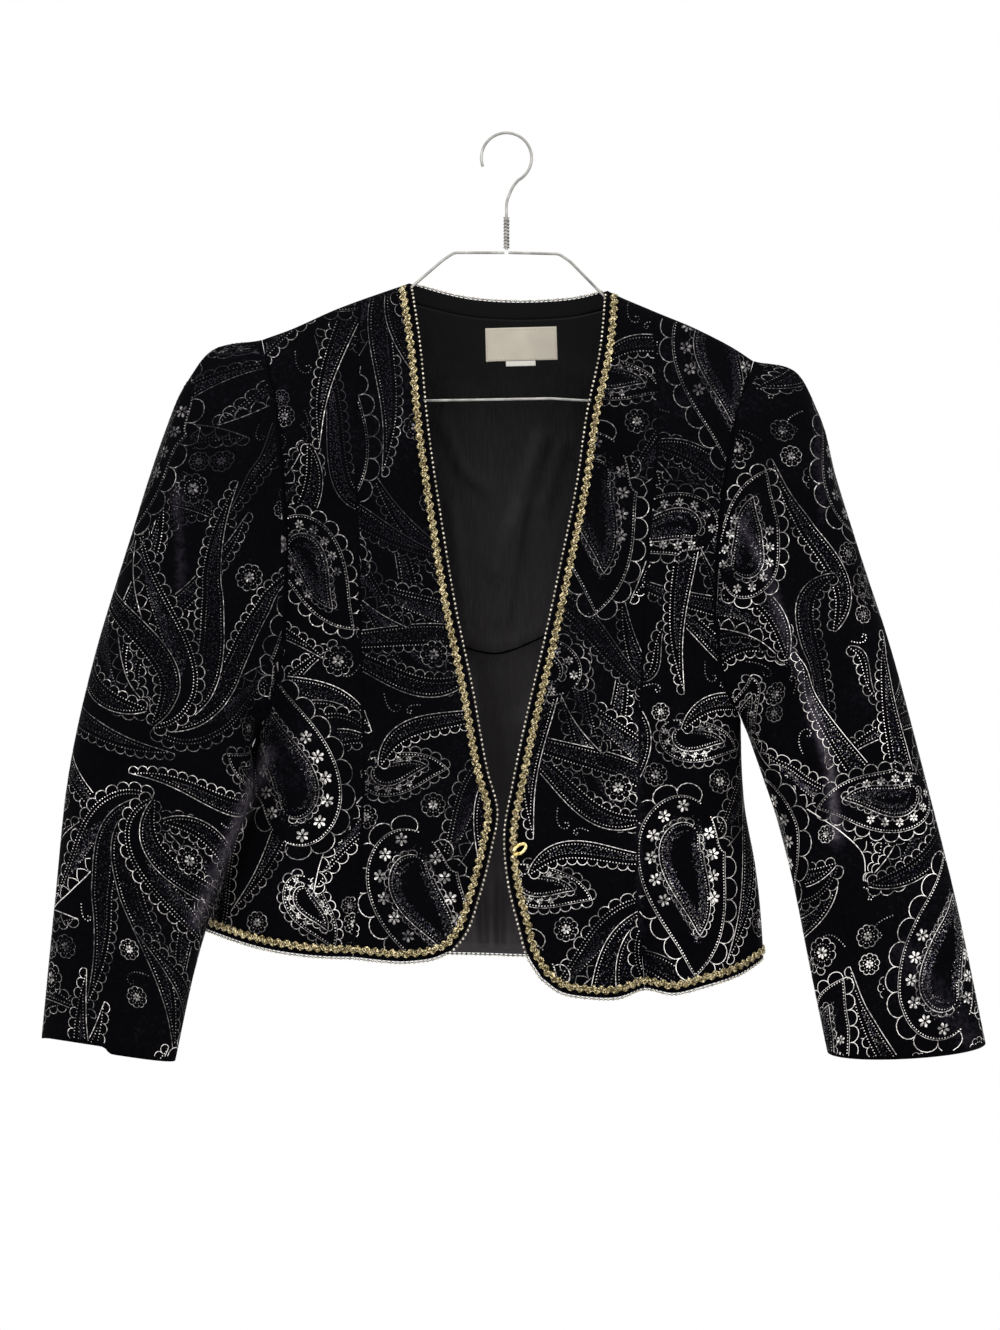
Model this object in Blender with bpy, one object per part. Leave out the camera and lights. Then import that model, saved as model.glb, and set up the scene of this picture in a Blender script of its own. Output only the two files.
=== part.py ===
"""Cropped velvet evening jacket hung open on a wire hanger.

Tables are in millimetres and the solids in metres. X runs to the wearer's left, Y to the
back of the jacket and Z up. The origin is the inside top of the hanger's hook, and heights
are written as drops below it.
"""

import math

import bmesh
import bpy
import numpy as np

MM = 0.001

# Cloth and seams
WALL = 1.6
LINING_WALL = 1.0
LINING_GAP = 2.8
SEAM_GAP = 0.3
SHOULDER_ROLL = 110.0
FLATNESS = 0.35
SIDES = {"right": -1, "left": 1}
FRONT = -1
BACK = 1

# Trims
BRAID_INSET = 2.4
BRAID_WIDTH = 7.6
BRAID_HEIGHT = 1.2
BRAID_LIFT = 1.4
PIPING_RADIUS = 1.0
PIPING_GAP = 0.7
LABEL_SIZE = (58.0, 27.0)
LABEL_CENTRE = (12.1, 166.4)
TAB_SIZE = (24.0, 4.2)
LABEL_TILT = math.radians(-1.6)
LABEL_WALL = 0.6
CLASP_RADIUS = 1.1
CLASP_CENTRE = (10.3, 572.5)

# Closing hook's wire about its middle: x, drop
CLASP_BEND = np.array([
    (-4.8, 1.1), (-2, -2.5), (0.9, -4.3), (4.1, -4.3), (5, -2.5), (3.7, 0.2), (1.6, 2.4), (-1, 3.3), (-4.5, 3.9),
], float)

# Hanger wire
WIRE_RADIUS = 1.15
HOOK_RADIUS = 19.0
HOOK_NECK_DROP = 93.0

# Body sections: drop, right side x, left side x, front depth, back depth, right side lean
BODY = np.array([
    (60, -232, 232, 28, 22, 0),
    (110, -232, 230, 30, 24, 0),
    (181, -228, 222, 34, 28, 0),
    (277, -215, 205, 42, 32, 0),
    (373, -204, 192, 48, 34, 0),
    (469, -200.5, 188, 50, 36, 0),
    (486, -201.7, 188.2, 50, 36, 0),
    (500, -203, 188.5, 50, 36, 5),
    (538, -212, 191, 50, 38, 16),
    (589, -234, 200, 52, 40, 22),
    (657, -250, 206, 56, 42, 22),
    (700, -252, 207, 57, 43, 22),
], float)

# Shoulder line and the line it would follow across the neck: x, drop
RIDGE = np.array([
    (-240, 184), (-196, 165), (-174, 157), (-138, 141), (-94, 125), (-78, 119.5), (-40, 99),
    (0, 90), (40, 99), (81, 125.5), (116, 141), (154, 157), (186, 174), (198, 182), (240, 205),
], float)

# Back neck edge: x, drop
NECK = np.array([
    (-78, 119.5), (-64, 123.5), (-36, 130.2), (0, 133.6), (33, 133.2), (57, 131), (72, 127.8), (81, 125.5),
], float)

# Front edges from the shoulder to the rounded corner: x, drop
FRONT_EDGE = {
    "right": np.array([
        (-78, 119.5), (-71, 165), (-64, 235), (-53, 312), (-41, 384), (-29, 441), (-16, 512),
        (-8.5, 543), (-13, 570), (-23, 609), (-35, 641), (-44, 652),
    ], float),
    "left": np.array([
        (81, 125.5), (76, 175), (66, 222), (57, 283), (44, 347), (31, 408), (19, 459), (6, 521),
        (-0.5, 560), (1.5, 592), (11, 634), (18, 658), (28, 674),
    ], float),
}

# Front hems from the rounded corner to the side: x, drop
FRONT_HEM = {
    "right": np.array([
        (-44, 652), (-56, 657.5), (-75, 660.5), (-122, 658), (-160, 656), (-198, 650), (-248, 636),
    ], float),
    "left": np.array([
        (28, 674), (42, 684.5), (62, 689), (88, 689.5), (110, 683), (133, 686.5), (160, 680),
        (192, 669), (206, 660),
    ], float),
}

# Back hem: x, drop
BACK_HEM = np.array([(-248, 636), (-120, 654.5), (0, 659), (120, 661.5), (206, 660)], float)

# Princess seams from the shoulder to the hem: x, drop
PRINCESS = {
    "right": np.array([
        (-117, 133.3), (-120, 250), (-116, 400), (-114, 530), (-118, 600), (-122, 658),
    ], float),
    "left": np.array([
        (117, 141.5), (121, 229), (113, 330), (107, 453), (105, 527), (104, 598), (110, 683),
    ], float),
}

# Tuck along the princess seams: drop, right depth, left depth, half width
TUCK = np.array([
    (130, 0.6, 0.6, 5), (400, 1.0, 1.6, 6), (540, 2.0, 3.5, 7), (620, 4.0, 8.0, 8), (690, 6.0, 13.0, 9),
], float)

# Armholes: shoulder point x, drop of the armpit
SHOULDER_POINT = {"right": -196.0, "left": 198.0}
ARMPIT_DROP = {"right": 490.0, "left": 469.0}
ARMPIT_SHARE = 0.645

# How far the armhole is scooped into the body: share of its drop, scoop
SCOOP = np.array([
    (0, 0), (0.15, 12), (0.33, 20), (0.55, 25), (0.78, 22), (0.92, 13), (1, 0),
], float)
BACK_SCOOP = 0.7

# Sleeve sections: station, outer x, outer drop, inner x, inner drop, front depth, back depth, centre y
SLEEVE = {
    "left": np.array([
        (0.00, 198, 182, 188, 469, 30, 24, 0),
        (0.08, 231, 192, 190, 474, 31, 25, 0),
        (0.16, 250, 224, 193, 481, 33, 27, 0),
        (0.28, 264, 275, 198, 495, 34, 28, 0),
        (0.42, 285, 342, 206, 518, 34, 29, 0),
        (0.56, 309, 416, 217, 551, 32, 28, 0),
        (0.70, 335, 514, 229, 598, 29, 26, 0),
        (0.85, 361, 618, 243, 668, 25, 23, 0),
        (1.00, 384, 729, 257, 736, 22, 20, 0),
    ], float),
    "right": np.array([
        (0.00, -196, 165, -202, 490, 30, 24, 0),
        (0.08, -234, 174, -203.2, 493, 31, 25, -1),
        (0.16, -255, 198, -203, 499, 33, 27, -5),
        (0.28, -274, 242, -202, 511, 34, 28, -13),
        (0.42, -301, 327, -204, 533, 34, 29, -19),
        (0.56, -329, 420, -214, 562, 32, 28, -21),
        (0.70, -349, 510, -229, 604, 29, 26, -21),
        (0.85, -360, 610, -248, 667, 26, 23, -21),
        (1.00, -371, 724, -264, 741, 22, 20, -22),
    ], float),
}
SLEEVE_SHIFT = 0.4
CAP_BLEND = 0.4
CAP_TUCK_HEIGHT = 1.5
CAP_TUCK_WAVES = 11.6
CUFF_FRONT_DROP = {"right": 0.0, "left": 8.0}
CUFF_STEP = {"right": 5.0, "left": 0.0}
UPPER_ROWS = 16
LOWER_ROWS = 8
FRONT_SLEEVE_SEAM_ROW = 15
BACK_SLEEVE_SEAM_ROW = 10
SLEEVE_SEAM_TRIM = 0.006

# Main folds: start x, start drop, end x, end drop, height, half width
FRONT_FOLDS = np.array([
    (160, 520, 168, 682, 6.0, 16),
    (70, 560, 66, 690, -4.0, 14),
    (-86, 560, -80, 662, 4.0, 14),
    (-160, 470, -185, 655, 4.0, 15),
], float)
BACK_FOLDS = np.array([
    (-90, 250, -40, 420, 4.0, 18),
    (100, 240, 60, 430, 4.0, 18),
    (-120, 470, -140, 650, 5.0, 20),
    (20, 480, 10, 654, -5.0, 20),
    (120, 470, 150, 655, 5.0, 20),
], float)
SLEEVE_FRONT_FOLDS = np.array([
    (176, 275, 205, 350, 4.0, 11),
    (205, 350, 234, 434, 6.0, 12),
    (234, 434, 249, 500, 6.0, 12),
    (249, 500, 263, 575, 5.0, 11),
    (250, 222, 253, 300, 3.0, 10),
    (-262, 255, -257, 350, 4.5, 11),
    (-315, 520, -272, 475, -4.0, 13),
    (-232, 590, -260, 690, 3.0, 10),
], float)
SLEEVE_BACK_FOLDS = np.array([
    (285, 360, 262, 520, 5.0, 12),
    (-300, 360, -262, 520, 5.0, 12),
], float)

# Folds of the lining toward the front: start x, start drop, end x, end drop, height, half width
LINING_FOLDS = np.array([
    (-38, 408, -10, 416, 3.0, 7),
    (-10, 416, 30, 403, 3.0, 7),
    (29, 245, -7, 350, 2.5, 8),
    (-28, 590, -24, 642, 3.0, 5),
    (-12, 584, -12, 642, 3.0, 5),
    (4, 590, 2, 642, 3.0, 5),
], float)

COLOURS = {
    "velvet": (0.012, 0.010, 0.016, 1.0),
    "satin": (0.010, 0.010, 0.012, 1.0),
    "gilt": (0.62, 0.42, 0.17, 1.0),
    "steel": (0.55, 0.55, 0.57, 1.0),
    "label": (0.86, 0.83, 0.76, 1.0),
}


def smooth(knots, values, at):
    """Cubic reading of one table column."""
    at = np.clip(np.asarray(at, float), knots[0], knots[-1])
    slopes = np.gradient(values, knots)
    i = np.clip(np.searchsorted(knots, at, side="right") - 1, 0, len(knots) - 2)
    step = knots[i + 1] - knots[i]
    t = (at - knots[i]) / step
    rise = values[i + 1] - values[i]
    first = slopes[i] * step
    last = slopes[i + 1] * step
    return values[i] + t * first + t * t * (3 * rise - 2 * first - last) + t ** 3 * (first + last - 2 * rise)


def along(rows, share):
    """Place on a drawn line at a share of its length, as x and drop."""
    lengths = np.hypot(*np.diff(rows, axis=0).T)
    knots = np.concatenate([[0.0], np.cumsum(lengths)]) / lengths.sum()
    return smooth(knots, rows[:, 0], share), smooth(knots, rows[:, 1], share)


def column(table, index, at):
    return smooth(table[:, 0], table[:, index], at)


for name, index in (("right", 1), ("left", 2)):
    FRONT_HEM[name][-1, 0] = column(BODY, index, FRONT_HEM[name][-1, 1])


def ridge(x):
    return smooth(RIDGE[:, 0], RIDGE[:, 1], x)


def body_axis(drop):
    right = column(BODY, 1, drop)
    left = column(BODY, 2, drop)
    return (right + left) / 2, (left - right) / 2


def angle_at(x, drop):
    """Angle round the body section, 0 at the wearer's left side and pi at the right."""
    centre, half = body_axis(drop)
    return np.arccos(np.clip((x - centre) / half, -1.0, 1.0))


def lens(angle):
    return np.sin(angle) * (1 + FLATNESS * np.cos(angle) ** 2)


def fold_height(folds, x, drop):
    """Sum of soft ridges along straight lines drawn on the cloth."""
    total = np.zeros(np.broadcast(x, drop).shape)
    for x0, d0, x1, d1, height, width in folds:
        run = (x1 - x0) ** 2 + (d1 - d0) ** 2
        t = ((x - x0) * (x1 - x0) + (drop - d0) * (d1 - d0)) / run
        near = np.clip(t, 0, 1)
        gap = np.hypot(x - x0 - near * (x1 - x0), drop - d0 - near * (d1 - d0))
        total = total + height * np.exp(-(gap / width) ** 2)
    return total


def tuck_depth(x, drop):
    total = np.zeros(np.broadcast(x, drop).shape)
    width = column(TUCK, 3, drop)
    for index, side in ((1, "right"), (2, "left")):
        seam = smooth(PRINCESS[side][:, 1], PRINCESS[side][:, 0], drop)
        total = total + column(TUCK, index, drop) * np.exp(-((x - seam) / width) ** 2)
    return total


def body_point(angle, drop, face):
    """Outer face of the body at an angle and a drop, front or back."""
    centre, half = body_axis(drop)
    x = centre + half * np.cos(angle)
    below = np.clip((drop - ridge(x)) / SHOULDER_ROLL, 0, 1)
    roll = np.sqrt(1 - (1 - below) ** 2)
    inner = np.clip(2.5 * np.sin(angle), 0, 1) * np.clip(3 * below, 0, 1)
    if face == FRONT:
        y = -column(BODY, 3, drop) * lens(angle) * roll
        y = y + tuck_depth(x, drop) * roll - fold_height(FRONT_FOLDS, x, drop) * inner
    else:
        y = column(BODY, 4, drop) * lens(angle) * roll
        y = y + fold_height(BACK_FOLDS, x, drop) * inner
    y = y + column(BODY, 5, drop) * np.clip(-np.cos(angle), 0, 1) ** 4 + face * SEAM_GAP / 2
    return np.stack([x, y, -drop * np.ones_like(x)], axis=-1)


def armhole_line(side, share, face):
    """Armhole seam from the shoulder point to the armpit, as x and drop."""
    sign = SIDES[side]
    top = SHOULDER_POINT[side]
    drop = ridge(top) + (ARMPIT_DROP[side] - ridge(top)) * share
    centre, half = body_axis(ARMPIT_DROP[side])
    scoop = smooth(SCOOP[:, 0], SCOOP[:, 1], share)
    if face == BACK:
        scoop = scoop * BACK_SCOOP
    x = top + (centre + sign * half - top) * share - sign * scoop
    return x, drop


def armhole_point(side, share, face):
    x, drop = armhole_line(side, share, face)
    point = body_point(angle_at(x, drop), drop, face)
    point[..., 1] -= face * SEAM_GAP / 2
    return point


def sleeve_section(side, angle, station):
    table = SLEEVE[side]
    outer_x, outer_drop, inner_x, inner_drop, front, back, centre = (
        column(table, i, station) for i in range(1, 8)
    )
    cos = np.cos(angle)
    x = (outer_x + inner_x) / 2 + (outer_x - inner_x) / 2 * cos
    drop = (outer_drop + inner_drop) / 2 + (outer_drop - inner_drop) / 2 * cos
    y = centre - np.where(np.sin(angle) >= 0, front, back) * lens(angle)
    return np.stack([x, y, -drop], axis=-1)


def sleeve_point(side, angle, station):
    """Outer face of a sleeve: angle 0 runs down its outside, pi down its inside, front between."""
    angle = np.asarray(angle, float) + np.zeros_like(station)
    station = np.asarray(station, float) + np.zeros_like(angle)
    share = (1 - np.cos(angle)) / 2
    seam = np.where(
        (np.sin(angle) >= 0)[..., None],
        armhole_point(side, share, FRONT),
        armhole_point(side, share, BACK),
    )
    blend = np.clip(1 - station / CAP_BLEND, 0, 1) ** 2
    shift = seam - sleeve_section(side, angle, np.zeros_like(station))
    point = sleeve_section(side, angle, station) + shift * blend[..., None]
    front = np.clip(1.8 * np.sin(angle), 0, 1) * np.clip(station / 0.1, 0, 1)
    back = np.clip(-1.8 * np.sin(angle), 0, 1) * np.clip(station / 0.1, 0, 1)
    point[..., 1] -= fold_height(SLEEVE_FRONT_FOLDS, point[..., 0], -point[..., 2]) * front
    point[..., 1] += fold_height(SLEEVE_BACK_FOLDS, point[..., 0], -point[..., 2]) * back
    gather = np.exp(-((station - 0.07) / 0.05) ** 2) * np.clip(np.cos(angle), 0, 1) ** 2
    tuck = CAP_TUCK_HEIGHT * np.cos(CAP_TUCK_WAVES * angle) * gather * np.clip(station / 0.03, 0, 1)
    point[..., 0] += SIDES[side] * (tuck * 0.6 + SLEEVE_SHIFT)
    point[..., 2] += tuck * 0.8
    low = np.clip((station - 0.8) / 0.2, 0, 1) ** 2
    step = np.tanh((angle - math.pi / 2) / 0.04) * np.clip(np.sin(angle), 0, 1) ** 0.5
    point[..., 2] -= low * CUFF_FRONT_DROP[side] * np.clip(np.sin(angle), 0, 1)
    point[..., 2] -= low * CUFF_STEP[side] / 2 * np.where(np.sin(angle) > 0, step, 0)
    return point


def down(rows):
    """Row spacing that closes up toward the shoulder."""
    return 3 * rows * rows / (1 + 2 * rows)


def down_inverse(share):
    return (2 * share + math.sqrt(4 * share * share + 12 * share)) / 6


def outer_edge(side, share, face):
    """Armhole then side seam, as angle and drop."""
    arm_x, arm_drop = armhole_line(side, np.clip(share / ARMPIT_SHARE, 0, 1), face)
    low = np.clip((share - ARMPIT_SHARE) / (1 - ARMPIT_SHARE), 0, 1)
    hem_drop = FRONT_HEM[side][-1, 1]
    drop = np.where(low > 0, ARMPIT_DROP[side] + (hem_drop - ARMPIT_DROP[side]) * low, arm_drop)
    seam = 0.0 if side == "left" else math.pi
    return np.where(share >= ARMPIT_SHARE, seam, angle_at(arm_x, arm_drop)), drop


def coons(top, bottom, first, last, u, share):
    """Patch of angles and drops between four drawn edges."""
    patch = []
    for i in (0, 1):
        across = (1 - share) * top(u)[i] + share * bottom(u)[i]
        lengthwise = (1 - u) * first(share)[i] + u * last(share)[i]
        ends = np.array([0.0, 1.0])
        corner_top = top(ends)[i]
        corner_low = bottom(ends)[i]
        corners = (1 - share) * ((1 - u) * corner_top[0] + u * corner_top[1])
        corners = corners + share * ((1 - u) * corner_low[0] + u * corner_low[1])
        patch.append(across + lengthwise - corners)
    return patch


def to_angle(line):
    x, drop = line
    return angle_at(x, drop), drop


def shoulder(side, u, start):
    x = start + (SHOULDER_POINT[side] - start) * u
    return to_angle((x, ridge(x)))


def hem_split(side):
    """Share of the front hem that lies before the princess seam."""
    shares = np.linspace(0, 1, 400)
    x, drop = along(FRONT_HEM[side], shares)
    return float(shares[np.argmin(np.abs(x - PRINCESS[side][-1, 0]))])


def shifted(line, by):
    x, drop = line
    return angle_at(x + by, drop), drop


def front_centre(side):
    sign = SIDES[side]
    split = hem_split(side)
    edge = FRONT_EDGE[side]
    seam = PRINCESS[side]

    def top(u):
        x = edge[0, 0] + (seam[0, 0] - sign * SEAM_GAP / 2 - edge[0, 0]) * u
        return to_angle((x, ridge(x)))

    def bottom(u):
        x, drop = along(FRONT_HEM[side], split * u)
        return angle_at(x - sign * u * SEAM_GAP / 2, drop), drop

    def surface(u, rows):
        share = down(rows)
        angle, drop = coons(
            top,
            bottom,
            lambda s: to_angle(along(edge, s)),
            lambda s: shifted(along(seam, s), -sign * SEAM_GAP / 2),
            u,
            share,
        )
        return body_point(angle, drop, FRONT)

    return surface


def front_side(side):
    sign = SIDES[side]
    split = hem_split(side)
    seam = PRINCESS[side]
    end_angle = 0.0 if side == "left" else math.pi

    def bottom(u):
        x, drop = along(FRONT_HEM[side], split + (1 - split) * u)
        angle = angle_at(x + sign * (1 - u) * SEAM_GAP / 2, drop)
        return np.where(u >= 1, end_angle, angle), drop

    def surface(u, rows):
        share = down(rows)
        angle, drop = coons(
            lambda v: shoulder(side, v, seam[0, 0] + sign * SEAM_GAP / 2),
            bottom,
            lambda s: shifted(along(seam, s), sign * SEAM_GAP / 2),
            lambda s: outer_edge(side, s, FRONT),
            u,
            share,
        )
        return body_point(angle, drop, FRONT)

    return surface


NECK_FROM = 0.3
NECK_TO = 0.7


def back_top(u):
    """Right shoulder, back neck and left shoulder, as angle and drop."""
    right_x = SHOULDER_POINT["right"] + (NECK[0, 0] - SHOULDER_POINT["right"]) * np.clip(u / NECK_FROM, 0, 1)
    left_x = NECK[-1, 0] + (SHOULDER_POINT["left"] - NECK[-1, 0]) * np.clip((u - NECK_TO) / (1 - NECK_TO), 0, 1)
    neck_x = NECK[0, 0] + (NECK[-1, 0] - NECK[0, 0]) * np.clip((u - NECK_FROM) / (NECK_TO - NECK_FROM), 0, 1)
    x = np.where(u < NECK_FROM, right_x, np.where(u > NECK_TO, left_x, neck_x))
    drop = np.where((u < NECK_FROM) | (u > NECK_TO), ridge(x), smooth(NECK[:, 0], NECK[:, 1], x))
    return angle_at(x, drop), drop


def back_bottom(u):
    angle = math.pi * (1 - u)
    x = -20 + 228 * np.cos(angle)
    return angle, smooth(BACK_HEM[:, 0], BACK_HEM[:, 1], x)


def back_patch(u, rows):
    return coons(
        back_top,
        back_bottom,
        lambda s: outer_edge("right", s, BACK),
        lambda s: outer_edge("left", s, BACK),
        u,
        down(rows),
    )


def back_surface(u, rows):
    angle, drop = back_patch(u, rows)
    return body_point(angle, drop, BACK)


def unit(vectors):
    return vectors / np.maximum(np.linalg.norm(vectors, axis=-1, keepdims=True), 1e-12)


def directions(surface, u, v, outward):
    """Outward unit normals of a surface, from small steps kept inside its edges."""
    step = 1e-3
    across = surface(np.minimum(u + step, 1), v) - surface(np.maximum(u - step, 0), v)
    lengthwise = surface(u, np.minimum(v + step, 1)) - surface(u, np.maximum(v - step, 0))
    normals = unit(np.cross(across, lengthwise))
    middle = normals[normals.shape[0] // 2, normals.shape[1] // 2]
    return normals * np.sign(middle @ np.array(outward, float))


def body_normal(angle, drop, face):
    """Outward unit normals of the body face."""
    step = 0.004
    across = body_point(np.minimum(angle + step, math.pi), drop, face)
    across = across - body_point(np.maximum(angle - step, 0), drop, face)
    lengthwise = body_point(angle, drop + 0.2, face) - body_point(angle, drop, face)
    return unit(np.cross(across, lengthwise)) * face * -1


def armhole_normals(side, share, face):
    """Shared wall direction of body and sleeve along the armhole; the body's own where they fold back."""
    x, drop = armhole_line(side, share, face)
    body = body_normal(angle_at(x, drop), drop + 0.05, face)
    angle = np.arccos(1 - 2 * share) * (1 if face == FRONT else -1)
    around = sleeve_point(side, angle + 0.004, np.zeros_like(angle))
    around = around - sleeve_point(side, angle - 0.004, np.zeros_like(angle))
    outward = sleeve_point(side, angle, np.full_like(angle, 0.004))
    outward = outward - sleeve_point(side, angle, np.zeros_like(angle))
    sleeve = unit(np.cross(around, outward)) * SIDES[side]
    at_top = (share < 1e-6)[..., None]
    level = np.array([1.0, 0.0, 1.0])
    body = np.where(at_top, unit(body * level), body)
    sleeve = np.where(at_top, unit(sleeve * level), sleeve)
    agree = np.sum(body * sleeve, axis=-1, keepdims=True) > 0.2
    shared = unit(body + sleeve)
    return np.where(agree, shared, body), np.where(agree, shared, sleeve)


def clear_scene():
    for item in list(bpy.data.objects):
        bpy.data.objects.remove(item, do_unlink=True)


def new_material(name):
    material = bpy.data.materials.new(name)
    material.use_nodes = True
    shader = material.node_tree.nodes["Principled BSDF"]
    shader.inputs["Base Color"].default_value = COLOURS[name]
    shader.inputs["Roughness"].default_value = 0.3 if name in ("gilt", "steel", "satin") else 0.8
    shader.inputs["Metallic"].default_value = 1.0 if name in ("gilt", "steel") else 0.0
    material.diffuse_color = COLOURS[name]
    return material


def place(name, data, material, group):
    item = bpy.data.objects.new(name, data)
    item.data.materials.append(material)
    group.objects.link(item)
    return item


def wall(name, points, normals, thickness, material, group):
    """Closed wall between a grid of outer points and the same grid moved inward."""
    columns, rows = points.shape[:2]
    mesh = bmesh.new()
    bmesh.ops.create_grid(mesh, x_segments=columns - 1, y_segments=rows - 1, size=1.0)
    at_column = mesh.verts.layers.int.new("column")
    at_row = mesh.verts.layers.int.new("row")
    for vert in mesh.verts:
        vert[at_column] = round((vert.co.x + 1) / 2 * (columns - 1))
        vert[at_row] = round((vert.co.y + 1) / 2 * (rows - 1))
    grown = bmesh.ops.extrude_face_region(mesh, geom=mesh.faces[:])["geom"]
    inner = {item for item in grown if isinstance(item, bmesh.types.BMVert)}
    for vert in mesh.verts:
        place_in_grid = (vert[at_column], vert[at_row])
        point = points[place_in_grid]
        if vert in inner:
            point = point - normals[place_in_grid] * thickness
        vert.co = point * MM
    bmesh.ops.recalc_face_normals(mesh, faces=mesh.faces[:])
    data = bpy.data.meshes.new(name)
    mesh.to_mesh(data)
    mesh.free()
    return place(name, data, material, group)


def tube(name, path, radius, material, group, sides=1):
    """Round wire along a line of points."""
    data = bpy.data.curves.new(name, "CURVE")
    data.dimensions = "3D"
    data.bevel_depth = radius * MM
    data.bevel_resolution = sides
    data.use_fill_caps = True
    spline = data.splines.new("POLY")
    spline.points.add(len(path) - 1)
    for point, place_on in zip(spline.points, path):
        point.co = (*(np.asarray(place_on) * MM), 1.0)
    return place(name, data, material, group)


def grid(columns, rows):
    return np.meshgrid(np.asarray(columns, float), np.asarray(rows, float), indexing="ij")


def body_rows():
    turn = down_inverse(ARMPIT_SHARE)
    return np.concatenate([np.linspace(0, turn, UPPER_ROWS + 1), np.linspace(turn, 1, LOWER_ROWS + 1)[1:]])


def sleeve_angles():
    """Angles round the armhole that meet the rows of the body, from the shoulder to the armpit."""
    share = down(np.linspace(0, down_inverse(ARMPIT_SHARE), UPPER_ROWS + 1)) / ARMPIT_SHARE
    return np.arccos(np.clip(1 - 2 * share, -1, 1))


def armhole_rows(normals, rows, side, face, last):
    """Give the armhole edge of a body panel the direction it shares with the sleeve."""
    share = np.clip(down(rows) / ARMPIT_SHARE, 0, 1)
    body, _ = armhole_normals(side, share, face)
    on_armhole = down(rows) < ARMPIT_SHARE - 1e-6
    edge = -1 if last else 0
    normals[edge, on_armhole] = body[on_armhole]
    return normals


def make_fronts(velvet, group):
    rows = body_rows()
    for side in SIDES:
        u, v = grid(1 - np.linspace(1, 0, 9) ** 1.5, rows)
        surface = front_centre(side)
        wall(f"front_{side}_centre", surface(u, v), directions(surface, u, v, (0, -1, 0)), WALL, velvet, group)
        u, v = grid(np.linspace(0, 1, 12) ** 1.4, rows)
        surface = front_side(side)
        normals = directions(surface, u, v, (0, -1, 0))
        normals = armhole_rows(normals, rows, side, FRONT, True)
        wall(f"front_{side}_side", surface(u, v), normals, WALL, velvet, group)


def make_back(velvet, satin, group):
    rows = body_rows()
    columns = np.concatenate([
        np.linspace(0, NECK_FROM, 8),
        np.linspace(NECK_FROM, NECK_TO, 9)[1:],
        np.linspace(NECK_TO, 1, 8)[1:],
    ])
    u, v = grid(columns, rows)
    normals = directions(back_surface, u, v, (0, 1, 0))
    normals = armhole_rows(normals, rows, "right", BACK, False)
    normals = armhole_rows(normals, rows, "left", BACK, True)
    wall("back_panel", back_surface(u, v), normals, WALL, velvet, group)
    u, v = grid(np.linspace(0.04, 0.96, 16), np.concatenate([[0.1], np.linspace(0.16, 0.985, 15)]))
    angle, drop = back_patch(u, v)
    wall("back_lining", lining_point(angle, drop), -body_normal(angle, drop, BACK), LINING_WALL, satin, group)


def lining_point(angle, drop):
    """Seen face of the lining, inside the back."""
    point = body_point(angle, drop, BACK)
    point = point - body_normal(angle, drop, BACK) * (WALL + LINING_GAP + LINING_WALL)
    point[..., 1] -= fold_height(LINING_FOLDS, point[..., 0], drop)
    return point


def make_labels(cloth, group):
    plates = {
        "neck_label": (LABEL_SIZE, LABEL_CENTRE, 7, 4),
        "size_tab": (TAB_SIZE, (LABEL_CENTRE[0] - 0.5, LABEL_CENTRE[1] + 15.9), 4, 3),
    }
    for name, ((width, height), (x_mid, drop_mid), columns, rows) in plates.items():
        u, v = grid(np.linspace(-0.5, 0.5, columns), np.linspace(-0.5, 0.5, rows))
        x = x_mid + u * width * math.cos(LABEL_TILT) - v * height * math.sin(LABEL_TILT)
        drop = drop_mid + u * width * math.sin(LABEL_TILT) + v * height * math.cos(LABEL_TILT)
        angle = angle_at(x, drop)
        outward = -body_normal(angle, drop, BACK)
        points = lining_point(angle, drop) + outward * (SEAM_GAP + LABEL_WALL)
        wall(name, points, outward, LABEL_WALL, cloth, group)


def make_sleeves(velvet, group):
    round_front = sleeve_angles()
    round_back = -round_front[::-1]
    front_seam = round_front[FRONT_SLEEVE_SEAM_ROW]
    back_seam = -round_front[BACK_SLEEVE_SEAM_ROW]
    upper = np.concatenate([round_back[UPPER_ROWS - BACK_SLEEVE_SEAM_ROW:-1], round_front[:FRONT_SLEEVE_SEAM_ROW + 1]])
    upper[0] = back_seam + SLEEVE_SEAM_TRIM
    upper[-1] = front_seam - SLEEVE_SEAM_TRIM
    under = np.concatenate([
        round_front[FRONT_SLEEVE_SEAM_ROW:-1],
        round_back[:UPPER_ROWS - BACK_SLEEVE_SEAM_ROW + 1] + 2 * math.pi,
    ])
    under[0] = front_seam + SLEEVE_SEAM_TRIM
    under[-1] = back_seam + 2 * math.pi - SLEEVE_SEAM_TRIM
    stations = np.concatenate([[0, 0.04, 0.08, 0.12], np.linspace(0.17, 1, 12)])
    for side in SIDES:
        for name, angles in (("upper", upper), ("under", under)):
            phi, w = grid(angles, stations)
            normals = sleeve_normals(side, phi, w)
            share = (1 - np.cos(angles)) / 2
            ahead = np.sin(angles) >= 0
            front_rows = armhole_normals(side, share, FRONT)[1]
            back_rows = armhole_normals(side, share, BACK)[1]
            normals[:, 0] = np.where(ahead[:, None], front_rows, back_rows)
            wall(f"sleeve_{side}_{name}", sleeve_point(side, phi, w), normals, WALL, velvet, group)


def sleeve_normals(side, angle, station):
    around = sleeve_point(side, angle + 0.003, station) - sleeve_point(side, angle - 0.003, station)
    lengthwise = sleeve_point(side, angle, np.minimum(station + 0.003, 1))
    lengthwise = lengthwise - sleeve_point(side, angle, np.maximum(station - 0.003, 0))
    return unit(np.cross(around, lengthwise)) * SIDES[side]


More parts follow.
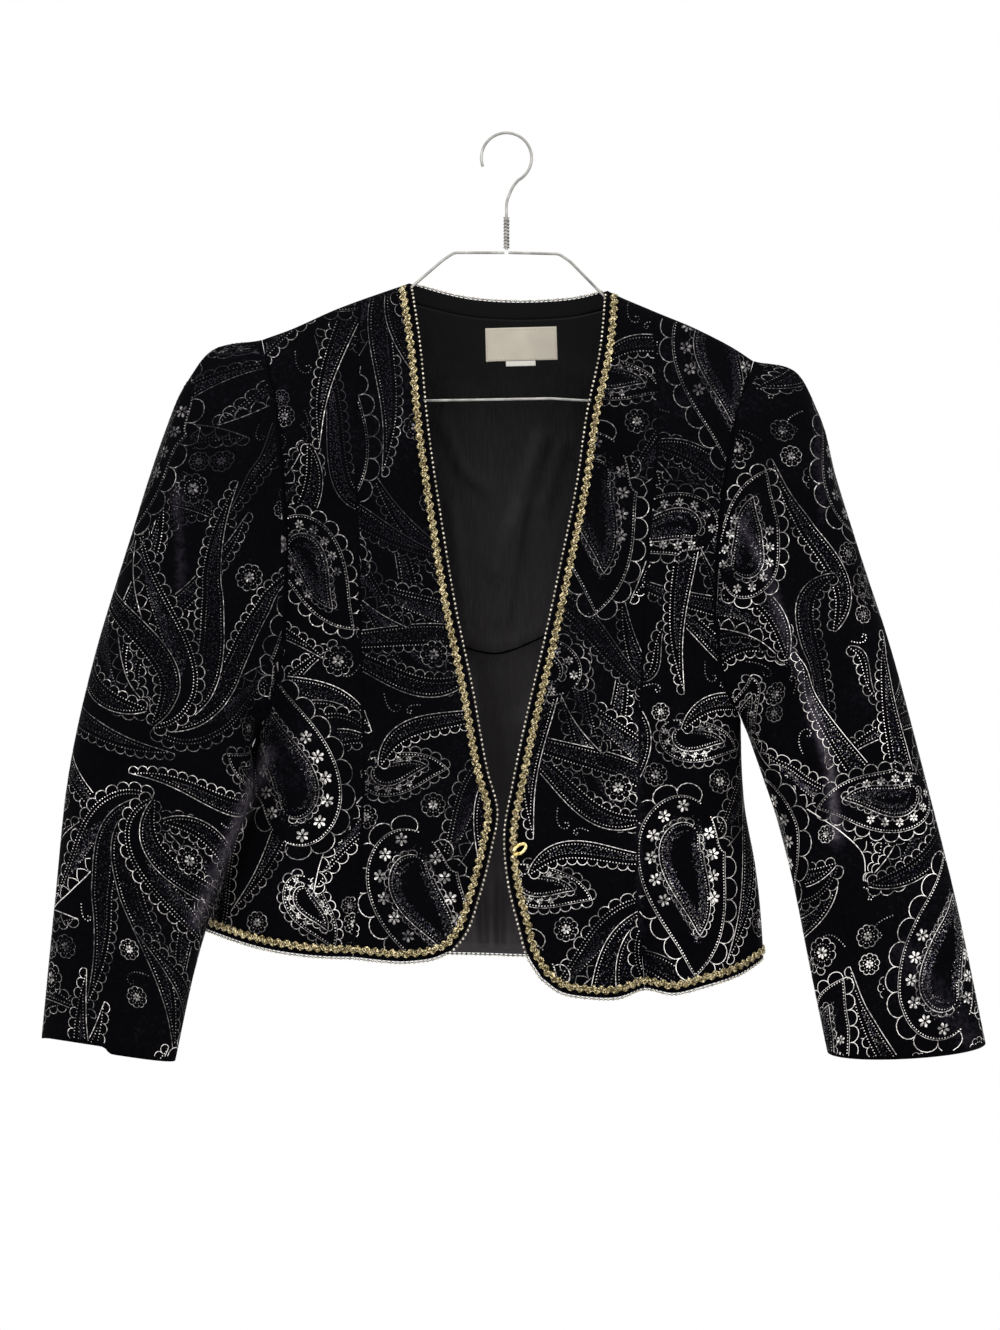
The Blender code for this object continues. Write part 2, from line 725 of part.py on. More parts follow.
def edge_line(side):
    """Front edge then front hem, as angles and drops spaced along the cloth."""
    edge = along(FRONT_EDGE[side], np.linspace(0.008, 1, 42))
    hem_x, hem_drop = along(FRONT_HEM[side], np.linspace(0, 1, 27)[1:] ** 0.9)
    angle = angle_at(np.concatenate([edge[0], hem_x]), np.concatenate([edge[1], hem_drop]))
    if side == "left":
        angle = np.maximum(angle, 0.012)
    else:
        angle = np.minimum(angle, math.pi - 0.012)
    return angle, np.concatenate([edge[1], hem_drop])


def inset(angle, drop, face, distance, turn):
    """Move a line on the body sideways across the cloth."""
    scale = np.linalg.norm(body_point(angle + 0.002, drop, face) - body_point(angle - 0.002, drop, face), axis=-1)
    scale = scale / 0.004
    along_angle = np.gradient(angle) * scale
    along_drop = np.gradient(drop)
    length = np.hypot(along_angle, along_drop)
    angle = angle - turn * along_drop / length * distance / scale
    drop = drop + turn * along_angle / length * distance
    angle = np.clip(angle, 0.004, math.pi - 0.004)
    centre, half = body_axis(drop)
    return angle, np.maximum(drop, ridge(centre + half * np.cos(angle)) + 1.0)


def make_trim(name, line, face, turn, gilt, group):
    """Braid set in from an edge and piping along the edge itself."""
    angle, drop = line
    strip = []
    outward = []
    for share in (0, 0.5, 1):
        a, d = inset(angle, drop, face, BRAID_INSET + BRAID_WIDTH * share, turn)
        n = body_normal(a, d, face)
        strip.append(body_point(a, d, face) + n * (BRAID_LIFT + BRAID_HEIGHT))
        outward.append(n)
    wall(f"braid_{name}", np.stack(strip), np.stack(outward), BRAID_HEIGHT, gilt, group)
    a, d = inset(angle, drop, face, 4.0, turn)
    edge = body_point(angle, drop, face)
    away = unit(edge - body_point(a, d, face))
    cord = edge + away * (PIPING_RADIUS + PIPING_GAP) - body_normal(angle, drop, face) * WALL / 2
    tube(f"piping_{name}", cord, PIPING_RADIUS, gilt, group, 0)


def make_trims(gilt, group):
    make_trim("front_right", edge_line("right"), FRONT, -1, gilt, group)
    make_trim("front_left", edge_line("left"), FRONT, 1, gilt, group)
    u = np.linspace(0.008, 0.992, 44)
    make_trim("back_hem", back_bottom(u), BACK, 1, gilt, group)
    u = np.linspace(NECK_FROM + 0.008, NECK_TO - 0.008, 18)
    make_trim("back_neck", back_top(u), BACK, -1, gilt, group)


def make_clasp(gilt, group):
    """Hook of bent wire on the wearer's left front edge."""
    bend = along(CLASP_BEND, np.linspace(0, 1, 24))
    x, drop = CLASP_CENTRE[0] + bend[0], CLASP_CENTRE[1] + bend[1]
    angle = angle_at(x, drop)
    lift = SEAM_GAP + BRAID_LIFT + BRAID_HEIGHT + CLASP_RADIUS
    tube("clasp_hook", body_point(angle, drop, FRONT) + body_normal(angle, drop, FRONT) * lift,
         CLASP_RADIUS, gilt, group)


def make_hanger(steel, group):
    turn = np.radians(np.linspace(-62, 200, 22))
    centre = -HOOK_RADIUS
    radius = HOOK_RADIUS + WIRE_RADIUS
    loop = [(radius * math.cos(a), 0, centre + radius * math.sin(a)) for a in turn]
    neck = [(0, 0, -HOOK_NECK_DROP), (0, 0, -56), (1.2, 0, -49), (5, 0, -42)]
    tube("hanger_hook", neck + loop, WIRE_RADIUS, steel, group)
    arms = {
        "left": [(1.6, 95), (40, 96), (46, 98), (51, 102), (79, 130.5), (150, 181), (186, 203), (191, 208)],
        "right": [(-1.6, 95), (-40, 95), (-46, 97), (-51, 101), (-79, 125), (-150, 179), (-186, 203), (-191, 208)],
    }
    for side, points in arms.items():
        tube(f"hanger_arm_{side}", [(x, 0, -d) for x, d in points], WIRE_RADIUS, steel, group)
    bar = [(-191.5, 210.6), (-186, 213.6), (-120, 214.5), (-20, 213), (36, 212), (70, 214), (186, 213.6), (191.5, 210.6)]
    tube("hanger_bar", [(x, 0, -d) for x, d in bar], WIRE_RADIUS, steel, group)


def main():
    clear_scene()
    group = bpy.data.collections.new("velvet_jacket")
    bpy.context.scene.collection.children.link(group)
    velvet, satin, gilt, steel, label = (new_material(name) for name in COLOURS)
    make_fronts(velvet, group)
    make_back(velvet, satin, group)
    make_sleeves(velvet, group)
    make_labels(label, group)
    make_trims(gilt, group)
    make_clasp(gilt, group)
    make_hanger(steel, group)


main()
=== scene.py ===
"""Velvet evening jacket on a wire hanger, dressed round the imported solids.

Tables are in millimetres and objects in metres. X runs to the wearer's left, Y to the back
and Z up. Heights are written as drops below the inside top of the hanger's hook.
"""

import math

import bmesh
import bpy
import numpy as np
from mathutils import Matrix


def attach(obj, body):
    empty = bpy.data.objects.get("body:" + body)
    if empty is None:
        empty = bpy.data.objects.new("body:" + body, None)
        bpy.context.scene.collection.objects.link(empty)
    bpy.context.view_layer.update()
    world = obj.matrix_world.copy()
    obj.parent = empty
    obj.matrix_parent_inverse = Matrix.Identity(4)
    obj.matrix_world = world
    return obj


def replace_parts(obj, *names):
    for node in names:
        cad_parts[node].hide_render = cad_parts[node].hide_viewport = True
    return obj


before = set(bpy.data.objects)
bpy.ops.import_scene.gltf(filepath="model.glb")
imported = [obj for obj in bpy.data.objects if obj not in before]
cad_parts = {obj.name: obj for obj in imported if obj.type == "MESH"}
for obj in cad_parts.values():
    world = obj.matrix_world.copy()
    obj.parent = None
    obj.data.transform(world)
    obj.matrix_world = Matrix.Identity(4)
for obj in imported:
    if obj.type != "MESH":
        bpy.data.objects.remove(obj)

bl_info = {
    "name": "Velvet Jacket",
    "version": (1, 0, 0),
    "blender": (4, 5, 0),
    "location": "View3D > Sidebar > Jacket",
    "description": "Builds a velvet jacket with a foil paisley print on a wire hanger",
    "category": "Add Mesh",
}

MM = 0.001

# Cloth and seams
WALL = 1.6
LINING_WALL = 1.0
LINING_GAP = 2.8
SEAM_GAP = 0.1
SHOULDER_ROLL = 110.0
FLATNESS = 0.35
SIDES = {"right": -1, "left": 1}
FRONT = -1
BACK = 1

# Trims
BRAID_INSET = 2.4
BRAID_WIDTH = 7.6
BRAID_HEIGHT = 1.2
BRAID_LIFT = 1.4
LABEL_SIZE = (58.0, 27.0)
LABEL_CENTRE = (12.1, 166.4)
TAB_SIZE = (24.0, 4.2)
TAB_OFFSET = (-0.5, 15.9)
LABEL_TILT = math.radians(-1.6)
LABEL_WALL = 0.6
CLASP_RADIUS = 1.1
CLASP_CENTRE = (10.3, 572.5)

# Closing hook's wire about its middle: x, drop
CLASP_BEND = np.array([
    (-4.8, 1.1), (-2, -2.5), (0.9, -4.3), (4.1, -4.3), (5, -2.5), (3.7, 0.2),
    (1.6, 2.4), (-1, 3.3), (-4.5, 3.9),
], float)

# Hanger wire
WIRE_RADIUS = 1.15
HOOK_RADIUS = 19.0
HOOK_NECK_DROP = 93.0

# Body sections: drop, right side x, left side x, front depth, back depth, right side lean
BODY = np.array([
    (60, -232, 232, 28, 22, 0),
    (110, -232, 230, 30, 24, 0),
    (181, -228, 222, 34, 28, 0),
    (277, -215, 205, 42, 32, 0),
    (373, -204, 192, 48, 34, 0),
    (469, -200.5, 188, 50, 36, 0),
    (486, -202.6, 188.2, 50, 36, 0),
    (500, -206, 188.5, 50, 36, 5),
    (538, -212, 191, 50, 38, 16),
    (589, -234, 200, 52, 40, 22),
    (657, -250, 206, 56, 42, 22),
    (700, -252, 207, 57, 43, 22),
], float)

# Shoulder line and the line it would follow across the neck: x, drop
RIDGE = np.array([
    (-240, 184), (-196, 165), (-174, 157), (-138, 141), (-94, 125), (-78, 119.5), (-40, 99),
    (0, 90), (40, 99), (81, 125.5), (116, 141), (154, 157), (186, 174), (198, 182), (240, 205),
], float)

# Back neck edge: x, drop
NECK = np.array([
    (-78, 119.5), (-64, 123.5), (-36, 130.2), (0, 133.6), (33, 133.2), (57, 131), (72, 127.8), (81, 125.5),
], float)

# Front edges from the shoulder to the rounded corner: x, drop
FRONT_EDGE = {
    "right": np.array([
        (-78, 119.5), (-71, 165), (-64, 235), (-53, 312), (-41, 384), (-29, 441), (-16, 512),
        (-8.5, 543), (-13, 570), (-23, 609), (-35, 641), (-44, 652),
    ], float),
    "left": np.array([
        (81, 125.5), (76, 175), (66, 222), (57, 283), (44, 347), (31, 408), (19, 459), (6, 521),
        (-0.5, 560), (1.5, 592), (11, 634), (18, 658), (28, 674),
    ], float),
}

# Front hems from the rounded corner to the side: x, drop
FRONT_HEM = {
    "right": np.array([
        (-44, 652), (-56, 657.5), (-75, 660.5), (-122, 658), (-160, 656), (-198, 650), (-248, 636),
    ], float),
    "left": np.array([
        (28, 674), (42, 684.5), (62, 689), (88, 689.5), (110, 683), (133, 686.5), (160, 680),
        (192, 669), (206, 660),
    ], float),
}

# Back hem: x, drop
BACK_HEM = np.array([(-248, 636), (-120, 654.5), (0, 659), (120, 661.5), (206, 660)], float)

# Princess seams from the shoulder to the hem: x, drop
PRINCESS = {
    "right": np.array([
        (-117, 133.3), (-120, 250), (-116, 400), (-114, 530), (-118, 600), (-122, 658),
    ], float),
    "left": np.array([
        (117, 141.5), (121, 229), (113, 330), (107, 453), (105, 527), (104, 598), (110, 683),
    ], float),
}

# Tuck along the princess seams: drop, right depth, left depth, half width
TUCK = np.array([
    (130, 0.6, 0.6, 5), (400, 1.0, 1.6, 6), (540, 2.0, 3.5, 7), (620, 4.0, 8.0, 8), (690, 6.0, 13.0, 9),
], float)

# Armholes: shoulder point x, drop of the armpit
SHOULDER_POINT = {"right": -196.0, "left": 198.0}
ARMPIT_DROP = {"right": 490.0, "left": 469.0}
ARMPIT_SHARE = 0.645

# How far the armhole is scooped into the body: share of its drop, scoop
SCOOP = np.array([
    (0, 0), (0.15, 12), (0.33, 20), (0.55, 25), (0.78, 22), (0.92, 13), (1, 0),
], float)
BACK_SCOOP = 0.7

# Sleeve sections: station, outer x, outer drop, inner x, inner drop, front depth, back depth, centre y
SLEEVE = {
    "left": np.array([
        (0.00, 198, 182, 188, 469, 30, 24, 0),
        (0.08, 231, 192, 190, 474, 31, 25, 0),
        (0.16, 250, 224, 193, 481, 33, 27, 0),
        (0.28, 264, 275, 198, 495, 34, 28, 0),
        (0.42, 285, 342, 206, 518, 34, 29, 0),
        (0.56, 309, 416, 217, 551, 32, 28, 0),
        (0.70, 335, 514, 229, 598, 29, 26, 0),
        (0.85, 361, 618, 243, 668, 25, 23, 0),
        (1.00, 384, 729, 257, 736, 22, 20, 0),
    ], float),
    "right": np.array([
        (0.00, -196, 165, -202, 490, 30, 24, 0),
        (0.08, -234, 174, -203.2, 493, 31, 25, -1),
        (0.16, -255, 198, -203, 499, 33, 27, -5),
        (0.28, -274, 242, -202, 511, 34, 28, -13),
        (0.42, -301, 327, -204, 533, 34, 29, -19),
        (0.56, -329, 420, -214, 562, 32, 28, -21),
        (0.70, -349, 510, -229, 604, 29, 26, -21),
        (0.85, -360, 610, -248, 667, 26, 23, -21),
        (1.00, -371, 724, -264, 741, 22, 20, -22),
    ], float),
}
SLEEVE_SHIFT = 0.4
CAP_BLEND = 0.4
CAP_TUCK_HEIGHT = 1.5
CAP_TUCK_WAVES = 11.6
CUFF_FRONT_DROP = {"right": 0.0, "left": 8.0}
CUFF_STEP = {"right": 5.0, "left": 0.0}
UPPER_ROWS = 16
FRONT_SLEEVE_SEAM_ROW = 15
BACK_SLEEVE_SEAM_ROW = 10

# Main folds, then finer creases: start x, start drop, end x, end drop, height, half width
FRONT_FOLDS = np.array([
    (160, 520, 168, 682, 6.0, 16),
    (70, 560, 66, 690, -4.0, 14),
    (-86, 560, -80, 662, 4.0, 14),
    (-160, 470, -185, 655, 4.0, 15),
    (58, 610, 57, 688, 2.0, 8), (140, 570, 146, 686, -2.4, 9), (186, 545, 196, 668, -2.0, 9),
    (128, 200, 100, 330, 1.2, 9), (152, 300, 128, 420, -1.5, 8), (172, 400, 140, 470, 1.4, 8),
    (-60, 545, -62, 655, -2.0, 8), (-104, 565, -108, 656, -2.2, 7), (-135, 560, -142, 655, 2.0, 8),
    (-205, 560, -226, 640, -2.0, 9), (-140, 230, -112, 340, 1.2, 9), (-172, 330, -132, 430, -1.5, 9),
    (-186, 430, -140, 480, 1.5, 8),
], float)
BACK_FOLDS = np.array([
    (-90, 250, -40, 420, 4.0, 18),
    (100, 240, 60, 430, 4.0, 18),
    (-120, 470, -140, 650, 5.0, 20),
    (20, 480, 10, 654, -5.0, 20),
    (120, 470, 150, 655, 5.0, 20),
    (-150, 200, -110, 330, 1.6, 10), (150, 210, 112, 330, 1.6, 10), (-60, 520, -66, 652, 2.4, 10),
    (66, 510, 72, 656, 2.4, 10), (-185, 500, -205, 645, -2.4, 10), (178, 500, 190, 655, -2.4, 10),
    (-20, 200, 10, 300, 1.4, 12),
], float)
SLEEVE_FRONT_FOLDS = np.array([
    (176, 275, 205, 350, 4.0, 11),
    (205, 350, 234, 434, 6.0, 12),
    (234, 434, 249, 500, 6.0, 12),
    (249, 500, 263, 575, 5.0, 11),
    (250, 222, 253, 300, 3.0, 10),
    (-262, 255, -257, 350, 4.5, 11),
    (-315, 520, -272, 475, -4.0, 13),
    (-232, 590, -260, 690, 3.0, 10),
    (-332, 430, -285, 470, 2.0, 7), (-250, 520, -300, 560, -2.0, 8), (-345, 600, -290, 640, 1.6, 9),
    (-300, 300, -276, 380, 1.4, 8), (-282, 660, -330, 700, -1.4, 8),
    (332, 520, 285, 560, 1.8, 8), (300, 600, 350, 640, -1.8, 9), (350, 690, 290, 704, 1.3, 8),
    (300, 420, 275, 470, -1.8, 8), (-216, 470, -255, 440, 2.0, 7), (204, 452, 240, 420, 1.8, 7),
], float)
SLEEVE_BACK_FOLDS = np.array([
    (285, 360, 262, 520, 5.0, 12),
    (-300, 360, -262, 520, 5.0, 12),
    (330, 520, 285, 570, 2.0, 8), (-335, 510, -285, 570, 2.0, 8), (-340, 620, -290, 650, 1.6, 9),
    (345, 630, 290, 660, 1.6, 9), (250, 260, 240, 380, 2.0, 10), (-258, 260, -248, 380, 2.0, 10),
], float)

# Folds of the lining toward the front: start x, start drop, end x, end drop, height, half width
LINING_FOLDS = np.array([
    (-38, 408, -10, 416, 0.8, 7),
    (-10, 416, 30, 403, 0.8, 7),
    (29, 245, -7, 350, 2.5, 8),
    (-28, 590, -24, 642, 3.0, 5),
    (-12, 584, -12, 642, 3.0, 5),
    (4, 590, 2, 642, 3.0, 5),
    (-36, 268, -16, 284, 1.6, 5), (-44, 300, -34, 395, 1.0, 6), (14, 300, -2, 392, 1.2, 5),
    (-6, 440, 4, 560, 1.0, 6), (-24, 430, -18, 520, -1.0, 6), (22, 430, 12, 500, 1.0, 5),
    (-20, 606, -18, 660, -3.4, 3), (-5, 600, -5, 660, -3.4, 3), (10, 606, 9, 660, 3.0, 3.5),
    (-35, 610, -33, 660, 3.0, 3.5), (-12, 622, -12, 660, 2.6, 2.5), (2, 620, 2, 660, 2.6, 2.5),
    (-27, 622, -26, 660, 2.6, 2.5), (30, 300, 44, 250, 1.2, 6), (-52, 230, -38, 262, 1.2, 6),
], float)

# Curved seam of the lining, where its upper part laps over the lower: x, drop
LINING_SEAM = np.array([(-140, 366), (-38, 408.6), (-10, 415.8), (30, 402.2), (130, 350)], float)
LINING_LIP = 1.6
LINING_LIP_RISE = 1.6
LINING_LIP_FADE = 45

# Crushed pile along creases, grey with painted sheen where the folds catch the light: line of x and drop,
# half width, amount
PILE_AND_SHEEN_LINES = [
    (np.array([(186, 311), (207, 352), (222, 401), (241, 453), (258, 509), (263, 565)], float), 4.5, 0.42),
    (np.array([(241, 453), (258, 509), (263, 560)], float), 5.5, 0.26),
    (np.array([(-191, 496), (-216, 556), (-247, 630)], float), 6.0, 0.62),
    (np.array([(-262, 289), (-258, 364)], float), 5.0, 0.18),
    (np.array([(248, 213), (252, 309)], float), 4.5, 0.16),
    (np.array([(318, 655), (346, 690), (366, 722)], float), 12.0, 0.18),
    (np.array([(104, 470), (105, 540), (106, 640)], float), 3.5, 0.16),
]

# Trims and label of the dressed jacket
BRAID_CORD = 0.55
BRAID_CORDS = 5
BRAID_POINTS = 12
BRAID_WAVE = 1.0
BEAD_RADIUS = 1.15
CLASP_SHOWN_RADIUS = 1.4
LABEL_GAP = 0.3
FOIL_LIFT = 0.28

# Hanger's arms and bar: x, drop
HANGER_LINES = {
    "hanger_arm_left": [(1.6, 95), (42, 96), (51, 102), (79, 130.5), (150, 181), (186, 203), (191, 208)],
    "hanger_arm_right": [
        (-1.6, 95), (-42, 95), (-51, 101), (-79, 125), (-150, 179), (-186, 203), (-191, 208),
    ],
    "hanger_bar": [
        (-191.5, 210.6), (-186, 213.6), (-120, 214.5), (-20, 213),
        (36, 212), (70, 214), (186, 213.6), (191.5, 210.6),
    ],
}

# Print repeat: size, then its motifs as kind, x, y, length, turn in degrees, bend
REPEAT = np.array([360.0, 408.0])
MOTIFS = [
    ("paisley", 84, 92, 122, 24, 0.44),
    ("paisley", 262, 300, 126, 205, 0.42),
    ("paisley", 290, 66, 88, -60, -0.46),
    ("paisley", 70, 290, 84, 120, 0.46),
    ("rosette", 144, 180, 8, 0, 0),
    ("rosette", 216, 228, 9, 20, 0),
    ("rosette", 24, 132, 8, 0, 0),
    ("rosette", 330, 168, 9, 0, 0),
    ("rosette", 120, 360, 8, 10, 0),
]
# Plumes that sweep one way from one place: x, y, length, turn of the middle leaf, step, count, sweep
PLUMES = [
    (176, 40, 185, 24, 19, 5, 1),
    (182, 52, 165, -58, 20, 4, -1),
    (12, 214, 180, -40, 19, 5, -1),
    (350, 236, 170, 112, 20, 4, 1),
    (158, 396, 180, 190, 19, 5, 1),
    (150, 380, 150, 110, 21, 3, -1),
    (196, 214, 140, -100, 21, 4, 1),
    (330, 400, 165, 40, 20, 4, -1),
]
PLUME_BEND = 0.5
PLUME_SPREAD = 0.1
# Smaller motifs behind these: kind, tries, shortest, longest, open share needed
FILL_SEED = 11
FILL_DIM = 0.08
SAND_DIM = 0.34
VIOLET_SHARE = 0.35
STIPPLE_SEED = 5
FILLERS = [
    ("feather", 140, 90, 150, 0.74),
    ("paisley", 90, 48, 76, 0.78),
    ("feather", 260, 45, 100, 0.76),
    ("rosette", 200, 5, 8, 0.97),
    ("tendril", 120, 25, 50, 0.85),
]
FRONT_PRINT = {
    "left_centre": ((20.0, 150.0), 8.0),
    "left_side": ((112.0, 36.0), 4.0),
    "right_centre": ((-250.0, 90.0), -12.0),
    "right_side": ((-128.0, 252.0), -8.0),
}
BACK_PRINT = ((-60.0, 120.0), 0.0)
# Boxes of flat places that the print fills: low corner, high corner
PRINT_BOX = {
    "left": ((-5, 110), (300, 700)),
    "right": ((-340, 110), (5, 700)),
    "back": ((-340, 110), (300, 700)),
}
SLEEVE_PRINT = {"left": ((30.0, 60.0), 174.0), "right": ((-70.0, 150.0), 186.0)}

# Stage: floor, view and lights as name, place, size, power
FLOOR_RADIUS = 1.15
FLOOR_HEIGHT = -1.25
VIEW_HEIGHT = 1.0608
LOOK_AT = (-0.0052, -0.030, -0.4258)
LIGHTS = [
    ("key", (-1.3, -2.0, 0.7), 1.4, 26.0),
    ("fill", (1.6, -1.6, 0.1), 1.6, 14.0),
    ("top", (0.2, -0.4, 1.3), 1.2, 10.0),
]


def smooth(knots, values, at):
    """Cubic reading of one table column."""
    at = np.clip(np.asarray(at, float), knots[0], knots[-1])
    slopes = np.gradient(values, knots)
    i = np.clip(np.searchsorted(knots, at, side="right") - 1, 0, len(knots) - 2)
    step = knots[i + 1] - knots[i]
    t = (at - knots[i]) / step
    rise = values[i + 1] - values[i]
    first = slopes[i] * step
    last = slopes[i + 1] * step
    return values[i] + t * first + t * t * (3 * rise - 2 * first - last) + t ** 3 * (first + last - 2 * rise)


def along(rows, share):
    """Place on a drawn line at a share of its length, as x and drop."""
    lengths = np.hypot(*np.diff(rows, axis=0).T)
    knots = np.concatenate([[0.0], np.cumsum(lengths)]) / lengths.sum()
    return smooth(knots, rows[:, 0], share), smooth(knots, rows[:, 1], share)


def column(table, index, at):
    return smooth(table[:, 0], table[:, index], at)


for name, index in (("right", 1), ("left", 2)):
    FRONT_HEM[name][-1, 0] = column(BODY, index, FRONT_HEM[name][-1, 1])


def ridge(x):
    return smooth(RIDGE[:, 0], RIDGE[:, 1], x)


def body_axis(drop):
    right = column(BODY, 1, drop)
    left = column(BODY, 2, drop)
    return (right + left) / 2, (left - right) / 2


def angle_at(x, drop):
    """Angle round the body section, 0 at the wearer's left side and pi at the right."""
    centre, half = body_axis(drop)
    return np.arccos(np.clip((x - centre) / half, -1.0, 1.0))


def lens(angle):
    return np.sin(angle) * (1 + FLATNESS * np.cos(angle) ** 2)


def fold_height(folds, x, drop):
    """Sum of soft ridges along straight lines drawn on the cloth."""
    total = np.zeros(np.broadcast(x, drop).shape)
    for x0, d0, x1, d1, height, width in folds:
        run = (x1 - x0) ** 2 + (d1 - d0) ** 2
        t = ((x - x0) * (x1 - x0) + (drop - d0) * (d1 - d0)) / run
        near = np.clip(t, 0, 1)
        gap = np.hypot(x - x0 - near * (x1 - x0), drop - d0 - near * (d1 - d0))
        total = total + height * np.exp(-(gap / width) ** 2)
    return total


def tuck_depth(x, drop):
    total = np.zeros(np.broadcast(x, drop).shape)
    width = column(TUCK, 3, drop)
    for index, side in ((1, "right"), (2, "left")):
        seam = smooth(PRINCESS[side][:, 1], PRINCESS[side][:, 0], drop)
        total = total + column(TUCK, index, drop) * np.exp(-((x - seam) / width) ** 2)
    return total


def body_point(angle, drop, face):
    """Outer face of the body at an angle and a drop, front or back."""
    centre, half = body_axis(drop)
    x = centre + half * np.cos(angle)
    below = np.clip((drop - ridge(x)) / SHOULDER_ROLL, 0, 1)
    roll = np.sqrt(1 - (1 - below) ** 2)
    inner = np.clip(2.5 * np.sin(angle), 0, 1) * np.clip(3 * below, 0, 1)
    if face == FRONT:
        y = -column(BODY, 3, drop) * lens(angle) * roll
        y = y + tuck_depth(x, drop) * roll - fold_height(FRONT_FOLDS, x, drop) * inner
    else:
        y = column(BODY, 4, drop) * lens(angle) * roll
        y = y + fold_height(BACK_FOLDS, x, drop) * inner
    y = y + column(BODY, 5, drop) * np.clip(-np.cos(angle), 0, 1) ** 4 + face * SEAM_GAP / 2
    return np.stack([x, y, -drop * np.ones_like(x)], axis=-1)


def armhole_line(side, share, face):
    """Armhole seam from the shoulder point to the armpit, as x and drop."""
    sign = SIDES[side]
    top = SHOULDER_POINT[side]
    drop = ridge(top) + (ARMPIT_DROP[side] - ridge(top)) * share
    centre, half = body_axis(ARMPIT_DROP[side])
    scoop = smooth(SCOOP[:, 0], SCOOP[:, 1], share)
    if face == BACK:
        scoop = scoop * BACK_SCOOP
    x = top + (centre + sign * half - top) * share - sign * scoop
    return x, drop


def armhole_point(side, share, face):
    x, drop = armhole_line(side, share, face)
    point = body_point(angle_at(x, drop), drop, face)
    point[..., 1] -= face * SEAM_GAP / 2
    return point


def sleeve_section(side, angle, station):
    table = SLEEVE[side]
    outer_x, outer_drop, inner_x, inner_drop, front, back, centre = (
        column(table, i, station) for i in range(1, 8)
    )
    cos = np.cos(angle)
    x = (outer_x + inner_x) / 2 + (outer_x - inner_x) / 2 * cos
    drop = (outer_drop + inner_drop) / 2 + (outer_drop - inner_drop) / 2 * cos
    y = centre - np.where(np.sin(angle) >= 0, front, back) * lens(angle)
    return np.stack([x, y, -drop], axis=-1)


def sleeve_point(side, angle, station):
    """Outer face of a sleeve: angle 0 runs down its outside, pi down its inside, front between."""
    angle = np.asarray(angle, float) + np.zeros_like(station)
    station = np.asarray(station, float) + np.zeros_like(angle)
    share = (1 - np.cos(angle)) / 2
    seam = np.where(
        (np.sin(angle) >= 0)[..., None],
        armhole_point(side, share, FRONT),
        armhole_point(side, share, BACK),
    )
    blend = np.clip(1 - station / CAP_BLEND, 0, 1) ** 2
    shift = seam - sleeve_section(side, angle, np.zeros_like(station))
    point = sleeve_section(side, angle, station) + shift * blend[..., None]
    front = np.clip(1.8 * np.sin(angle), 0, 1) * np.clip(station / 0.1, 0, 1)
    back = np.clip(-1.8 * np.sin(angle), 0, 1) * np.clip(station / 0.1, 0, 1)
    point[..., 1] -= fold_height(SLEEVE_FRONT_FOLDS, point[..., 0], -point[..., 2]) * front
    point[..., 1] += fold_height(SLEEVE_BACK_FOLDS, point[..., 0], -point[..., 2]) * back
    gather = np.exp(-((station - 0.07) / 0.05) ** 2) * np.clip(np.cos(angle), 0, 1) ** 2
    tuck = CAP_TUCK_HEIGHT * np.cos(CAP_TUCK_WAVES * angle) * gather * np.clip(station / 0.03, 0, 1)
    point[..., 0] += SIDES[side] * (tuck * 0.6 + SLEEVE_SHIFT)
    point[..., 2] += tuck * 0.8
    low = np.clip((station - 0.8) / 0.2, 0, 1) ** 2
    step = np.tanh((angle - math.pi / 2) / 0.04) * np.clip(np.sin(angle), 0, 1) ** 0.5
    point[..., 2] -= low * CUFF_FRONT_DROP[side] * np.clip(np.sin(angle), 0, 1)
    point[..., 2] -= low * CUFF_STEP[side] / 2 * np.where(np.sin(angle) > 0, step, 0)
    return point


def down(rows):
    """Row spacing that closes up toward the shoulder."""
    return 3 * rows * rows / (1 + 2 * rows)


def down_inverse(share):
    return (2 * share + math.sqrt(4 * share * share + 12 * share)) / 6


def outer_edge(side, share, face):
    """Armhole then side seam, as angle and drop."""
    arm_x, arm_drop = armhole_line(side, np.clip(share / ARMPIT_SHARE, 0, 1), face)
    low = np.clip((share - ARMPIT_SHARE) / (1 - ARMPIT_SHARE), 0, 1)
    hem_drop = FRONT_HEM[side][-1, 1]
    drop = np.where(low > 0, ARMPIT_DROP[side] + (hem_drop - ARMPIT_DROP[side]) * low, arm_drop)
    seam = 0.0 if side == "left" else math.pi
    return np.where(share >= ARMPIT_SHARE, seam, angle_at(arm_x, arm_drop)), drop


def coons(top, bottom, first, last, u, share):
    """Patch of angles and drops between four drawn edges."""
    patch = []
    for i in (0, 1):
        across = (1 - share) * top(u)[i] + share * bottom(u)[i]
        lengthwise = (1 - u) * first(share)[i] + u * last(share)[i]
        ends = np.array([0.0, 1.0])
        corner_top = top(ends)[i]
        corner_low = bottom(ends)[i]
        corners = (1 - share) * ((1 - u) * corner_top[0] + u * corner_top[1])
        corners = corners + share * ((1 - u) * corner_low[0] + u * corner_low[1])
        patch.append(across + lengthwise - corners)
    return patch


def to_angle(line):
    x, drop = line
    return angle_at(x, drop), drop


def shoulder(side, u, start):
    x = start + (SHOULDER_POINT[side] - start) * u
    return to_angle((x, ridge(x)))


def hem_split(side):
    """Share of the front hem that lies before the princess seam."""
    shares = np.linspace(0, 1, 400)
    x = along(FRONT_HEM[side], shares)[0]
    return float(shares[np.argmin(np.abs(x - PRINCESS[side][-1, 0]))])


def shifted(line, by):
    x, drop = line
    return angle_at(x + by, drop), drop


